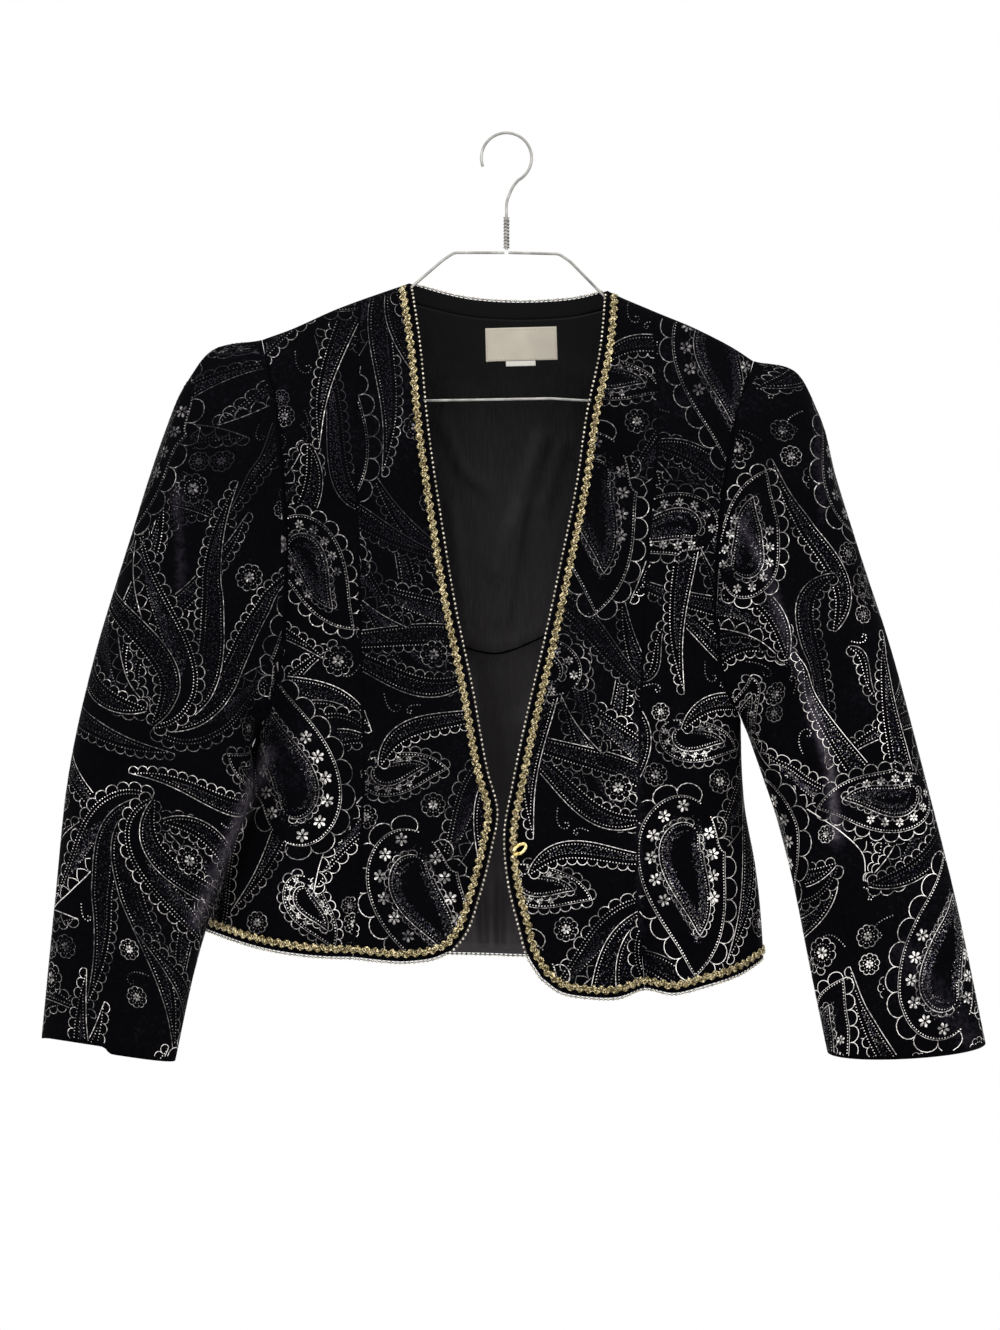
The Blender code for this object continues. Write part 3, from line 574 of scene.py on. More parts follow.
def front_centre(side):
    sign = SIDES[side]
    split = hem_split(side)
    edge = FRONT_EDGE[side]
    seam = PRINCESS[side]

    def top(u):
        x = edge[0, 0] + (seam[0, 0] - sign * SEAM_GAP / 2 - edge[0, 0]) * u
        return to_angle((x, ridge(x)))

    def bottom(u):
        x, drop = along(FRONT_HEM[side], split * u)
        return angle_at(x - sign * u * SEAM_GAP / 2, drop), drop

    def surface(u, rows):
        share = down(rows)
        angle, drop = coons(
            top,
            bottom,
            lambda s: to_angle(along(edge, s)),
            lambda s: shifted(along(seam, s), -sign * SEAM_GAP / 2),
            u,
            share,
        )
        return body_point(angle, drop, FRONT)

    return surface


def front_side(side):
    sign = SIDES[side]
    split = hem_split(side)
    seam = PRINCESS[side]
    end_angle = 0.0 if side == "left" else math.pi

    def bottom(u):
        x, drop = along(FRONT_HEM[side], split + (1 - split) * u)
        angle = angle_at(x + sign * (1 - u) * SEAM_GAP / 2, drop)
        return np.where(u >= 1, end_angle, angle), drop

    def surface(u, rows):
        share = down(rows)
        angle, drop = coons(
            lambda v: shoulder(side, v, seam[0, 0] + sign * SEAM_GAP / 2),
            bottom,
            lambda s: shifted(along(seam, s), sign * SEAM_GAP / 2),
            lambda s: outer_edge(side, s, FRONT),
            u,
            share,
        )
        return body_point(angle, drop, FRONT)

    return surface


NECK_FROM = 0.3
NECK_TO = 0.7
BACK_MIDDLE = -20
BACK_HALF = 228


def back_top(u):
    """Right shoulder, back neck and left shoulder, as angle and drop."""
    right, left = NECK[0, 0], NECK[-1, 0]
    right_x = SHOULDER_POINT["right"] + (right - SHOULDER_POINT["right"]) * np.clip(u / NECK_FROM, 0, 1)
    left_x = left + (SHOULDER_POINT["left"] - left) * np.clip((u - NECK_TO) / (1 - NECK_TO), 0, 1)
    neck_x = right + (left - right) * np.clip((u - NECK_FROM) / (NECK_TO - NECK_FROM), 0, 1)
    x = np.where(u < NECK_FROM, right_x, np.where(u > NECK_TO, left_x, neck_x))
    drop = np.where((u < NECK_FROM) | (u > NECK_TO), ridge(x), smooth(NECK[:, 0], NECK[:, 1], x))
    return angle_at(x, drop), drop


def back_bottom(u):
    angle = math.pi * (1 - u)
    x = BACK_MIDDLE + BACK_HALF * np.cos(angle)
    return angle, smooth(BACK_HEM[:, 0], BACK_HEM[:, 1], x)


def back_patch(u, rows):
    return coons(
        back_top,
        back_bottom,
        lambda s: outer_edge("right", s, BACK),
        lambda s: outer_edge("left", s, BACK),
        u,
        down(rows),
    )


def back_surface(u, rows):
    angle, drop = back_patch(u, rows)
    return body_point(angle, drop, BACK)


def unit(vectors):
    return vectors / np.maximum(np.linalg.norm(vectors, axis=-1, keepdims=True), 1e-12)


def body_normal(angle, drop, face):
    """Outward unit normals of the body face."""
    step = 0.004
    across = body_point(np.minimum(angle + step, math.pi), drop, face)
    across = across - body_point(np.maximum(angle - step, 0), drop, face)
    lengthwise = body_point(angle, drop + 0.2, face) - body_point(angle, drop, face)
    return unit(np.cross(across, lengthwise)) * face * -1


def grid(columns, rows):
    return np.meshgrid(np.asarray(columns, float), np.asarray(rows, float), indexing="ij")


def sleeve_angles():
    """Angles round the armhole that meet the rows of the body, from the shoulder to the armpit."""
    share = down(np.linspace(0, down_inverse(ARMPIT_SHARE), UPPER_ROWS + 1)) / ARMPIT_SHARE
    return np.arccos(np.clip(1 - 2 * share, -1, 1))


def sleeve_normals(side, angle, station):
    around = sleeve_point(side, angle + 0.003, station) - sleeve_point(side, angle - 0.003, station)
    lengthwise = sleeve_point(side, angle, np.minimum(station + 0.003, 1))
    lengthwise = lengthwise - sleeve_point(side, angle, np.maximum(station - 0.003, 0))
    return unit(np.cross(around, lengthwise)) * SIDES[side]


def lining_point(angle, drop):
    """Seen face of the lining, inside the back."""
    point = body_point(angle, drop, BACK)
    point = point - body_normal(angle, drop, BACK) * (WALL + LINING_GAP + LINING_WALL)
    point[..., 1] -= fold_height(LINING_FOLDS, point[..., 0], drop)
    above = smooth(LINING_SEAM[:, 0], LINING_SEAM[:, 1], point[..., 0]) - drop
    lip = np.clip(above / LINING_LIP_RISE, 0, 1) * np.exp(-np.clip(above, 0, None) / LINING_LIP_FADE)
    point[..., 1] -= LINING_LIP * lip
    return point


def edge_line(side):
    """Front edge then front hem, as angles and drops along the cloth."""
    edge = along(FRONT_EDGE[side], np.linspace(0.004, 1, 260))
    hem_x, hem_drop = along(FRONT_HEM[side], np.linspace(0, 1, 160)[1:] ** 0.9)
    angle = angle_at(np.concatenate([edge[0], hem_x]), np.concatenate([edge[1], hem_drop]))
    angle = np.clip(angle, 0.012, math.pi - 0.012)
    return angle, np.concatenate([edge[1], hem_drop])


def inset(angle, drop, face, distance, turn):
    """Move a line on the body sideways across the cloth."""
    scale = np.linalg.norm(
        body_point(angle + 0.002, drop, face) - body_point(angle - 0.002, drop, face), axis=-1
    )
    scale = scale / 0.004
    along_angle = np.gradient(angle) * scale
    along_drop = np.gradient(drop)
    length = np.hypot(along_angle, along_drop)
    angle = angle - turn * along_drop / length * distance / scale
    drop = drop + turn * along_angle / length * distance
    angle = np.clip(angle, 0.004, math.pi - 0.004)
    centre, half = body_axis(drop)
    return angle, np.maximum(drop, ridge(centre + half * np.cos(angle)) + 1.0)


# ---------------------------------------------------------------- materials


class Shade:
    """A material's node tree with short ways to add what cloth and metal need."""

    def __init__(self, name):
        self.material = bpy.data.materials.new(name)
        self.material.use_nodes = True
        self.tree = self.material.node_tree
        self.shader = self.tree.nodes["Principled BSDF"]
        self.coords = self.add("ShaderNodeTexCoord").outputs["Object"]

    def add(self, kind, **values):
        made = self.tree.nodes.new(kind)
        for name, value in values.items():
            setattr(made, name, value)
        return made

    def join(self, start, end):
        self.tree.links.new(start, end)

    def set(self, **values):
        for name, value in values.items():
            self.shader.inputs[name.replace("_", " ")].default_value = value

    def noise(self, scale, detail=3.0, stretch=(1, 1, 1)):
        mapping = self.add("ShaderNodeMapping")
        mapping.inputs["Scale"].default_value = stretch
        self.join(self.coords, mapping.inputs["Vector"])
        made = self.add("ShaderNodeTexNoise")
        made.inputs["Scale"].default_value = scale
        made.inputs["Detail"].default_value = detail
        self.join(mapping.outputs["Vector"], made.inputs["Vector"])
        return made.outputs["Fac"]

    def maths(self, operation, first, second):
        made = self.add("ShaderNodeMath", operation=operation)
        for socket, value in zip(made.inputs, (first, second)):
            if isinstance(value, (int, float)):
                socket.default_value = value
            else:
                self.join(value, socket)
        return made.outputs[0]

    def ramp(self, factor, *stops):
        made = self.add("ShaderNodeValToRGB")
        while len(made.color_ramp.elements) < len(stops):
            made.color_ramp.elements.new(0.5)
        for element, (place, colour) in zip(made.color_ramp.elements, stops):
            element.position = place
            element.color = (*colour, 1.0)
        self.join(factor, made.inputs["Fac"])
        return made.outputs["Color"]

    def attribute(self, name):
        return self.add("ShaderNodeAttribute", attribute_name=name).outputs["Fac"]

    def colour(self, socket):
        self.join(socket, self.shader.inputs["Base Color"])

    def rough(self, factor, low, high):
        made = self.add("ShaderNodeMapRange")
        made.inputs["To Min"].default_value = low
        made.inputs["To Max"].default_value = high
        self.join(factor, made.inputs["Value"])
        self.join(made.outputs["Result"], self.shader.inputs["Roughness"])

    def bump(self, height, strength, distance):
        made = self.add("ShaderNodeBump")
        made.inputs["Strength"].default_value = strength
        made.inputs["Distance"].default_value = distance
        self.join(height, made.inputs["Height"])
        self.join(made.outputs["Normal"], self.shader.inputs["Normal"])


def velvet_material():
    """Deep black pile, greyer along creases, where the pile is crushed and where painted sheen stands for the
    folds catching the light.
    """
    shade = Shade("velvet_pile")
    cloud = shade.maths("MULTIPLY", shade.maths("SUBTRACT", shade.noise(16, 4), 0.5), 0.34)
    grain = shade.maths("MULTIPLY", shade.maths("SUBTRACT", shade.noise(420, 3), 0.5), 0.34)
    tufts = shade.maths("ADD", shade.maths("MULTIPLY", shade.noise(260, 4), 1.5), 0.25)
    # Painted sheen: the attribute greys the pile along creases, partly crushed pile and partly light on the
    # folds.
    crushed_and_sheen = shade.maths("MULTIPLY", shade.attribute("pile_and_sheen"), tufts)
    pile_and_sheen = shade.maths("ADD", shade.maths("ADD", crushed_and_sheen, cloud), grain)
    shade.colour(shade.ramp(
        pile_and_sheen, (0.0, (0.0004, 0.0003, 0.0006)), (0.24, (0.0012, 0.0011, 0.0018)),
        (0.6, (0.015, 0.013, 0.018)), (1.0, (0.058, 0.050, 0.060)),
    ))
    shade.rough(cloud, 0.85, 0.98)
    shade.set(Sheen_Weight=0.008, Sheen_Roughness=0.4, Sheen_Tint=(0.62, 0.55, 0.74, 1.0))
    shade.set(Specular_IOR_Level=0.02)
    shade.bump(shade.noise(1500, 2), 0.25, 0.0004)
    return shade.material


def satin_material(name="lining_satin"):
    """Black satin with a soft gloss along the threads, and painted shade that makes it darker toward the top.
    """
    shade = Shade(name)
    thread = shade.noise(60, 3, (22, 22, 1))
    height = shade.add("ShaderNodeSeparateXYZ")
    shade.join(shade.coords, height.inputs["Vector"])
    # Painted shade: the colour is darker toward the top and lighter lower down.
    lower = shade.maths("MULTIPLY", shade.maths("ADD", height.outputs["Z"], 0.18), -1.9)
    tone = shade.maths("ADD", shade.maths("MULTIPLY", thread, 0.35), lower)
    shade.colour(shade.ramp(
        tone,
        (0.2, (0.0004, 0.0004, 0.0007)),
        (0.52, (0.0135, 0.0122, 0.0135)),
        (0.9, (0.0450, 0.0410, 0.0440)),
    ))
    shade.rough(shade.noise(9, 3), 0.34, 0.5)
    shade.set(Specular_IOR_Level=0.09, Anisotropic=0.4)
    wrinkle = shade.noise(30, 4, (1.6, 1, 0.7))
    shade.bump(wrinkle, 0.35, 0.004)
    return shade.material


def foil_material(name, dark, bright):
    """Printed foil, worn in patches where the pile shows through."""
    shade = Shade(name)
    worn = shade.maths("MULTIPLY", shade.maths("SUBTRACT", shade.noise(38, 4), 0.5), 1.15)
    speck = shade.maths("MULTIPLY", shade.maths("SUBTRACT", shade.noise(420, 2), 0.5), 1.5)
    # The shine attribute holds painted light across the jacket; the noises add wear and broken foil.
    shine = shade.maths("ADD", shade.maths("ADD", shade.attribute("shine"), worn), speck)
    dim = tuple(0.24 * part for part in bright)
    shade.colour(shade.ramp(shine, (0.12, dark), (0.55, dim), (0.88, bright)))
    shade.rough(shade.noise(300, 2), 0.25, 0.5)
    shade.set(Metallic=0.72, Specular_IOR_Level=0.4)
    return shade.material


def gilt_material(name, dark, mid, bright, low, high):
    """Metal thread or plated bead, its colour mottled at random between painted shade and painted highlights.
    """
    shade = Shade(name)
    tone = shade.noise(700, 3)
    # Painted light: the dark stop stands for shade in the gaps, the bright stop for highlights.
    shade.colour(shade.ramp(tone, (0.37, dark), (0.50, mid), (0.63, bright)))
    shade.rough(shade.noise(600, 2), low, high)
    shade.set(Metallic=0.9)
    shade.bump(shade.noise(2600, 1), 0.3, 0.0002)
    return shade.material


def steel_material():
    shade = Shade("drawn_wire")
    drawn = shade.noise(90, 3, (1, 1, 1))
    shade.colour(shade.ramp(drawn, (0.3, (0.20, 0.19, 0.18)), (0.7, (0.42, 0.41, 0.39))))
    shade.rough(shade.noise(300, 2), 0.28, 0.5)
    shade.set(Metallic=0.9)
    return shade.material


def label_material(name, dark, bright):
    """Ribbed woven tape."""
    shade = Shade(name)
    rib = shade.add("ShaderNodeTexWave", wave_type="BANDS", bands_direction="Z")
    rib.inputs["Scale"].default_value = 380
    rib.inputs["Distortion"].default_value = 1.5
    shade.join(shade.coords, rib.inputs["Vector"])
    tone = shade.maths("ADD", shade.maths("MULTIPLY", rib.outputs["Fac"], 0.4),
                       shade.maths("MULTIPLY", shade.noise(45, 4), 0.6))
    shade.colour(shade.ramp(tone, (0.2, dark), (0.75, bright)))
    shade.rough(tone, 0.75, 0.95)
    shade.bump(rib.outputs["Fac"], 0.3, 0.0003)
    return shade.material


def floor_material():
    shade = Shade("pale_floor")
    shade.colour(shade.ramp(shade.noise(3, 3), (0.3, (0.80, 0.79, 0.78)), (0.7, (0.86, 0.85, 0.84))))
    shade.rough(shade.noise(20, 3), 0.7, 0.9)
    return shade.material


MATERIALS = {}


def materials():
    """All finishes, made once."""
    if not MATERIALS:
        MATERIALS.update(
            velvet=velvet_material(),
            satin=satin_material(),
            facing=satin_material("inner_facing"),
            silver=foil_material("silver_foil", (0.016, 0.014, 0.018), (0.98, 0.94, 0.90)),
            violet=foil_material("violet_foil", (0.010, 0.009, 0.018), (0.19, 0.165, 0.34)),
            braid=gilt_material(
                "gilt_thread", (0.04, 0.03, 0.013), (0.25, 0.195, 0.09), (0.95, 0.84, 0.55), 0.22, 0.42,
            ),
            clasp=gilt_material(
                "bright_gilt", (0.46, 0.33, 0.09), (0.86, 0.66, 0.25), (1.0, 0.90, 0.56), 0.14, 0.28,
            ),
            bead=gilt_material(
                "gilt_bead", (0.20, 0.175, 0.135), (0.42, 0.38, 0.305), (0.80, 0.755, 0.65), 0.16, 0.32,
            ),
            steel=steel_material(),
            label=label_material("woven_label", (0.33, 0.30, 0.245), (0.46, 0.42, 0.35)),
            tab=label_material("size_tape", (0.45, 0.43, 0.39), (0.60, 0.58, 0.54)),
            thread=label_material("label_thread", (0.32, 0.28, 0.22), (0.45, 0.40, 0.32)),
        )
    return MATERIALS


# ---------------------------------------------------------------- mesh helpers


def show(name, data, slot, *finishes):
    """Object from a mesh, riding on the jacket's one body."""
    for finish in finishes:
        data.materials.append(materials()[finish])
    piece = bpy.data.objects.new(name, data)
    bpy.context.scene.collection.objects.link(piece)
    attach(piece, "root")
    return piece


def rounded(data):
    data.polygons.foreach_set("use_smooth", np.ones(len(data.polygons), bool))
    data.update()


def cloth(name, points, outward, wall, slot, *finishes):
    """Thin shell over a grid of seen points, thickened away from the seen face."""
    columns, rows = points.shape[:2]
    form = bmesh.new()
    form.loops.layers.uv.new("UVMap")
    bmesh.ops.create_grid(
        form, x_segments=columns - 1, y_segments=rows - 1, size=1.0, calc_uvs=True
    )
    data = bpy.data.meshes.new(name)
    form.to_mesh(data)
    form.free()
    place = np.empty(len(data.vertices) * 3)
    data.vertices.foreach_get("co", place)
    place = place.reshape(-1, 3)
    i = np.rint((place[:, 0] + 1) / 2 * (columns - 1)).astype(int)
    j = np.rint((place[:, 1] + 1) / 2 * (rows - 1)).astype(int)
    seen = points[i, j]
    data.vertices.foreach_set("co", (seen * MM).ravel())
    a, b = columns // 2, rows // 2
    facing = np.cross(points[a + 1, b] - points[a, b], points[a, b + 1] - points[a, b])
    if facing @ np.asarray(outward, float) < 0:
        data.flip_normals()
    # Grey of crushed pile and painted sheen along creases, read by the velvet.
    pile_and_sheen = data.attributes.new("pile_and_sheen", "FLOAT", "POINT")
    pile_and_sheen.data.foreach_set("value", crushed_pile_and_sheen(seen))
    rounded(data)
    piece = show(name, data, slot, *finishes)
    solid = piece.modifiers.new("thickness", "SOLIDIFY")
    solid.thickness = wall * MM
    solid.offset = -1.0
    solid.material_offset = len(finishes) - 1
    solid.use_quality_normals = True
    return piece


def line_gap(rows, x, drop):
    """Distance from points to a drawn line of x and drop."""
    gap = np.full(x.shape, 1e6)
    for (x0, d0), (x1, d1) in zip(rows[:-1], rows[1:]):
        run = (x1 - x0) ** 2 + (d1 - d0) ** 2
        t = np.clip(((x - x0) * (x1 - x0) + (drop - d0) * (d1 - d0)) / run, 0, 1)
        gap = np.minimum(gap, np.hypot(x - x0 - t * (x1 - x0), drop - d0 - t * (d1 - d0)))
    return gap


def crushed_pile_and_sheen(points):
    """How grey the pile is made along creases, 0 to 1: crushed and worn pile, with painted sheen on the
    folds.
    """
    x, y, drop = points[:, 0], points[:, 1], -points[:, 2]
    worn = np.full(x.shape, 0.18)
    # Painted sheen with crushed pile along each line, on the front only.
    for rows, width, amount in PILE_AND_SHEEN_LINES:
        worn = worn + amount * np.exp(-(line_gap(rows, x, drop) / width) ** 2) * (y < 6)
    return np.clip(worn, 0, 1)


def joined(name, points, quads, slot, *finishes):
    """One mesh from arrays of points and four-sided faces."""
    data = bpy.data.meshes.new(name)
    fill(data, points, [quads])
    rounded(data)
    return show(name, data, slot, *finishes)


def fill(data, points, groups):
    """Set a mesh's points and its faces, groups of faces with as many corners each."""
    groups = [group for group in groups if len(group)]
    corners = np.concatenate([group.ravel() for group in groups])
    sizes = np.concatenate([np.full(len(group), group.shape[1]) for group in groups])
    starts = np.concatenate([[0], np.cumsum(sizes)[:-1]])
    data.vertices.add(len(points))
    data.vertices.foreach_set("co", (np.asarray(points) * MM).ravel())
    data.loops.add(len(corners))
    data.loops.foreach_set("vertex_index", corners.astype(np.int32))
    data.polygons.add(len(sizes))
    data.polygons.foreach_set("loop_start", starts.astype(np.int32))
    data.update(calc_edges=True)


def cord(path, radius, sides):
    """Points and faces of a round cord with closed ends along a path."""
    ahead = unit(np.gradient(path, axis=0))
    guide = np.where(np.abs(ahead[:, 1:2]) < 0.8, [[0.0, 1.0, 0.0]], [[1.0, 0.0, 0.0]])
    first = unit(np.cross(ahead, guide))
    second = np.cross(ahead, first)
    turn = np.linspace(0, 2 * math.pi, sides, endpoint=False)
    ring = first[:, None] * np.cos(turn)[:, None] + second[:, None] * np.sin(turn)[:, None]
    taper = np.ones(len(path))
    taper[[0, -1]] = 0.02
    points = path[:, None] + ring * radius * taper[:, None, None]
    at = np.arange(len(path) - 1)[:, None] * sides
    side = np.arange(sides)[None]
    after = (side + 1) % sides
    quads = np.stack([at + side, at + after, at + after + sides, at + side + sides], axis=-1)
    return points.reshape(-1, 3), quads.reshape(-1, 4)


def gather(parts):
    """Join lists of points and faces."""
    points, quads, count = [], [], 0
    for place, faces in parts:
        points.append(place)
        quads.append(faces + count)
        count += len(place)
    return np.concatenate(points), np.concatenate(quads)


def outward_faces(data):
    form = bmesh.new()
    form.from_mesh(data)
    bmesh.ops.recalc_face_normals(form, faces=form.faces[:])
    form.to_mesh(data)
    form.free()
    rounded(data)


def wire(name, path, radius, slot, finish):
    """Smooth round wire from a curve, made a mesh."""
    curve = bpy.data.curves.new(name, "CURVE")
    curve.dimensions = "3D"
    curve.bevel_depth = radius * MM
    curve.bevel_resolution = 3
    curve.use_fill_caps = True
    spline = curve.splines.new("POLY")
    spline.points.add(len(path) - 1)
    for point, place in zip(spline.points, path):
        point.co = (*(np.asarray(place, float) * MM), 1.0)
    draft = bpy.data.objects.new(name + "_draft", curve)
    bpy.context.scene.collection.objects.link(draft)
    bpy.context.view_layer.update()
    data = bpy.data.meshes.new_from_object(draft.evaluated_get(bpy.context.evaluated_depsgraph_get()))
    data.name = name
    data.materials.clear()
    bpy.data.objects.remove(draft, do_unlink=True)
    rounded(data)
    return show(name, data, slot, finish)


def rounded_path(rows, step=1.0, radius=6.0):
    """Drawn line in x, y and drop with its corners eased."""
    rows = np.asarray(rows, float)
    run = np.concatenate([[0], np.cumsum(np.linalg.norm(np.diff(rows, axis=0), axis=1))])
    at = np.linspace(0, run[-1], max(int(run[-1] / step), 8))
    path = np.stack([np.interp(at, run, rows[:, i]) for i in range(3)], axis=-1)
    window = np.hanning(max(int(radius / step), 3) * 2 + 1)
    window /= window.sum()
    reach = len(window) // 2
    padded = np.concatenate([
        2 * path[0] - path[reach:0:-1], path, 2 * path[-1] - path[-2:-reach - 2:-1],
    ])
    return np.stack([np.convolve(padded[:, i], window, "valid") for i in range(3)], axis=-1)


# ---------------------------------------------------------------- foil print


def respace(path, step):
    run = np.concatenate([[0], np.cumsum(np.hypot(*np.diff(path, axis=0).T))])
    at = np.linspace(0, run[-1], max(int(round(run[-1] / step)) + 1, 2))
    return np.stack([np.interp(at, run, path[:, i]) for i in (0, 1)], axis=-1)


def sideways(path):
    ahead = np.gradient(path, axis=0)
    ahead = ahead / np.maximum(np.hypot(ahead[:, 0], ahead[:, 1]), 1e-9)[:, None]
    return np.stack([-ahead[:, 1], ahead[:, 0]], axis=-1)


def leaf_side(length, width, bend, side, trim, full):
    """One side of a leaf from its base to its tip; full gives a rounded base."""
    s = np.linspace(0, 1, 120)
    sway = bend * length * (s ** 2 - 0.16 * np.sin(2 * math.pi * s))
    middle = np.stack([sway, length * s], axis=-1)
    if full:
        swell = np.where(
            s < 0.3,
            np.sqrt(np.clip(1 - ((0.3 - s) / 0.3) ** 2, 0, 1)),
            np.cos(math.pi / 2 * np.clip((s - 0.3) / 0.7, 0, 1)) ** 0.85,
        )
    else:
        swell = np.sin(math.pi * s ** 0.7) ** 0.9
    half = width * swell - trim
    keep = half > 0.0
    return (middle + sideways(middle) * side * half[:, None])[keep]


ARCH_POINTS = 10
ARCH_TURN = 1.8


class Sketch:
    """Strokes and dots of one motif, drawn from its base at the origin upward."""

    def __init__(self):
        self.strokes = []
        self.spots = []
        self.outline = None
        self.rng = np.random.default_rng(STIPPLE_SEED)

    def line(self, path, width):
        if len(path) > 2:
            self.strokes.append((respace(path, 2.2), width))

    def waves(self, path, pitch, height, side, width, shape):
        """Row of arches along one side of a line; shape gives each arch's shift and rise."""
        if len(path) < 3:
            return
        fine = respace(path, pitch / ARCH_POINTS)
        out = sideways(fine)
        count = max(round((len(fine) - 1) / ARCH_POINTS), 1)
        at = np.linspace(0, count, count * ARCH_POINTS + 1)
        shift, rise = shape(at % 1)
        spot = np.clip((at + shift) / count, 0, 1) * (len(fine) - 1)
        base, out = (
            np.stack([np.interp(spot, np.arange(len(fine)), rows[:, i]) for i in (0, 1)], axis=-1)
            for rows in (fine, out)
        )
        self.strokes.append((base + out * side * height * rise[:, None], width))

    def scallops(self, path, pitch, height, side, width):
        def shape(f):
            turn = (2 * f - 1) * ARCH_TURN
            return 0.5 + 0.5 * np.sin(turn) / math.sin(ARCH_TURN) - f, (
                (np.cos(turn) - math.cos(ARCH_TURN)) / (1 - math.cos(ARCH_TURN))
            )

        self.waves(path, pitch, height, side, width, shape)

    def tongues(self, path, pitch, height, side, width):
        self.waves(path, pitch, height, side, width, lambda f: (0 * f, (1 - np.abs(2 * f - 1)) ** 0.5))

    def dotted(self, path, pitch, radius, gain=0.06):
        if len(path) > 2:
            spots = respace(path, pitch)
            self.spots.append((spots, np.full(len(spots), radius), 0, gain))

    def flower(self, x, y, radius, petals=6):
        for turn in np.arange(petals) * 2 * math.pi / petals + 0.3:
            out = np.array([math.cos(turn), math.sin(turn)])
            petal = np.array([x, y]) + out * radius * np.array([[0.22], [0.45], [0.7], [0.88], [1.0]])
            self.strokes.append((petal, radius * np.array([0.10, 0.30, 0.44, 0.36, 0.06])))

    def sand(self, first, last, spacing, radius):
        """Loose fine dots between two lines, some of them violet."""
        count = min(len(first), len(last))
        if count < 4:
            return
        low, high = first[-count:], last[-count:]
        rows = int(np.hypot(*(high - low).T).max() / spacing)
        for share in (np.arange(rows) + 0.5) / max(rows, 1):
            spots = respace(low + (high - low) * share, spacing)
            spots = spots + self.rng.normal(0, 0.34 * spacing, spots.shape)
            radii = radius * self.rng.uniform(0.6, 1.3, len(spots))
            violet = self.rng.random(len(spots)) < VIOLET_SHARE
            for tint, chosen in ((0, ~violet), (1, violet)):
                self.spots.append((spots[chosen], radii[chosen], tint, -SAND_DIM))

    def border(self, sides):
        self.outline = np.concatenate([sides[0], sides[1][::-1]])


def paisley(length, bend):
    """Rounded teardrop with large scallops, dotted lines, a ring of flowers and a fine heart."""
    sketch = Sketch()
    width = 0.30 * length
    scallop = 0.15 * length

    def ring(side, trim):
        return leaf_side(length, width, bend, side, trim, True)

    def heart(side, trim):
        inner = leaf_side(length * 0.6, width * 0.5, bend * 1.3, side, trim, True)
        return inner + (0, 0.15 * length)

    for side in (1, -1):
        sketch.scallops(ring(side, 0), scallop, 0.58 * scallop, side, 0.56)
        sketch.line(ring(side, 0), 0.29)
        sketch.dotted(ring(side, 1.6), 2.4, 0.52, 0.12)
        for x, y in respace(ring(side, 0.09 * length), 0.145 * length)[1:-3]:
            sketch.flower(x, y, 0.042 * length)
        sketch.sand(ring(side, 0.14 * length), ring(side, 0.19 * length), 2.4, 0.36)
        sketch.line(heart(side, 0), 0.44)
        sketch.scallops(heart(side, 0), 6.5, 3.6, side, 0.36)
        sketch.dotted(heart(side, 2.6), 2.3, 0.42)
        sketch.sand(heart(side, 4.0), heart(side, 9.0), 2.2, 0.36)
    sketch.border([ring(side, -0.58 * scallop - 1.0) for side in (1, -1)])
    return sketch


def feather(length, bend):
    """Long slender leaf with loops along its outer side and fine lines along the other."""
    sketch = Sketch()
    width = 0.05 * length + 1.2
    outer = 1 if bend < 0 else -1

    def edge(side, trim):
        return leaf_side(length, width, bend, side * outer, trim, False)

    sketch.scallops(edge(1, 0), 8.2, 4.8, outer, 0.44)
    sketch.dotted(edge(1, 0.7), 2.5, 0.46, 0.12)
    sketch.dotted(edge(1, 4.4), 2.6, 0.38, -0.08)
    sketch.line(edge(-1, 0), 0.48)
    sketch.dotted(edge(-1, 2.6), 2.5, 0.40)
    sketch.sand(edge(1, 5.4), edge(-1, 4.0), 3.0, 0.36)
    sketch.border([edge(1, -5.2), edge(-1, -1.0)])
    return sketch


def frond(length, bend):
    """Broader leaf with pointed petals along one side and loops along the other."""
    sketch = Sketch()
    width = 0.105 * length
    outer = 1 if bend < 0 else -1

    def edge(side, trim):
        return leaf_side(length, width, bend, side * outer, trim, False)

    sketch.line(edge(1, 0), 0.6)
    sketch.tongues(edge(1, 0.8), 12.0, 8.0, -outer, 0.4)
    sketch.dotted(edge(1, 10.5), 2.5, 0.42)
    sketch.scallops(edge(-1, 0), 10.0, 5.6, -outer, 0.48)
    for trim in (0.6, 3.6):
        sketch.dotted(edge(-1, trim), 2.5, 0.44, 0.08)
    sketch.sand(edge(1, 12.0), edge(-1, 5.4), 2.8, 0.36)
    sketch.border([edge(1, -1.2), edge(-1, -6.0)])
    return sketch


def rosette(length, bend):
    """Small round flower with a dotted ring."""
    sketch = Sketch()
    turn = np.linspace(0, 2 * math.pi, 25)
    ring = np.stack([np.cos(turn), np.sin(turn)], axis=-1)
    sketch.flower(0, 0, 0.55 * length, 7)
    sketch.dotted(ring * 0.8 * length, 2.4, 0.44)
    sketch.scallops(ring * length, 0.7 * length, 0.36 * length, -1, 0.4)
    sketch.outline = ring * 1.3 * length
    return sketch


def tendril(length, bend):
    """Dotted stem that ends in a curl."""
    sketch = Sketch()
    s = np.linspace(0, 1, 60)
    turn = 5.4 * s ** 2.2
    step = length / 60 * (1 - 0.55 * s)
    x = np.cumsum(np.sin(turn) * step) * (1 if bend >= 0 else -1)
    y = np.cumsum(np.cos(turn) * step)
    sketch.dotted(np.stack([x, y], axis=-1), 2.4, 0.5, 0.1)
    sketch.outline = np.array([(-1, 0), (1, 0), (x[30], y[30])])
    return sketch


KINDS = {"paisley": paisley, "feather": feather, "frond": frond, "rosette": rosette, "tendril": tendril}


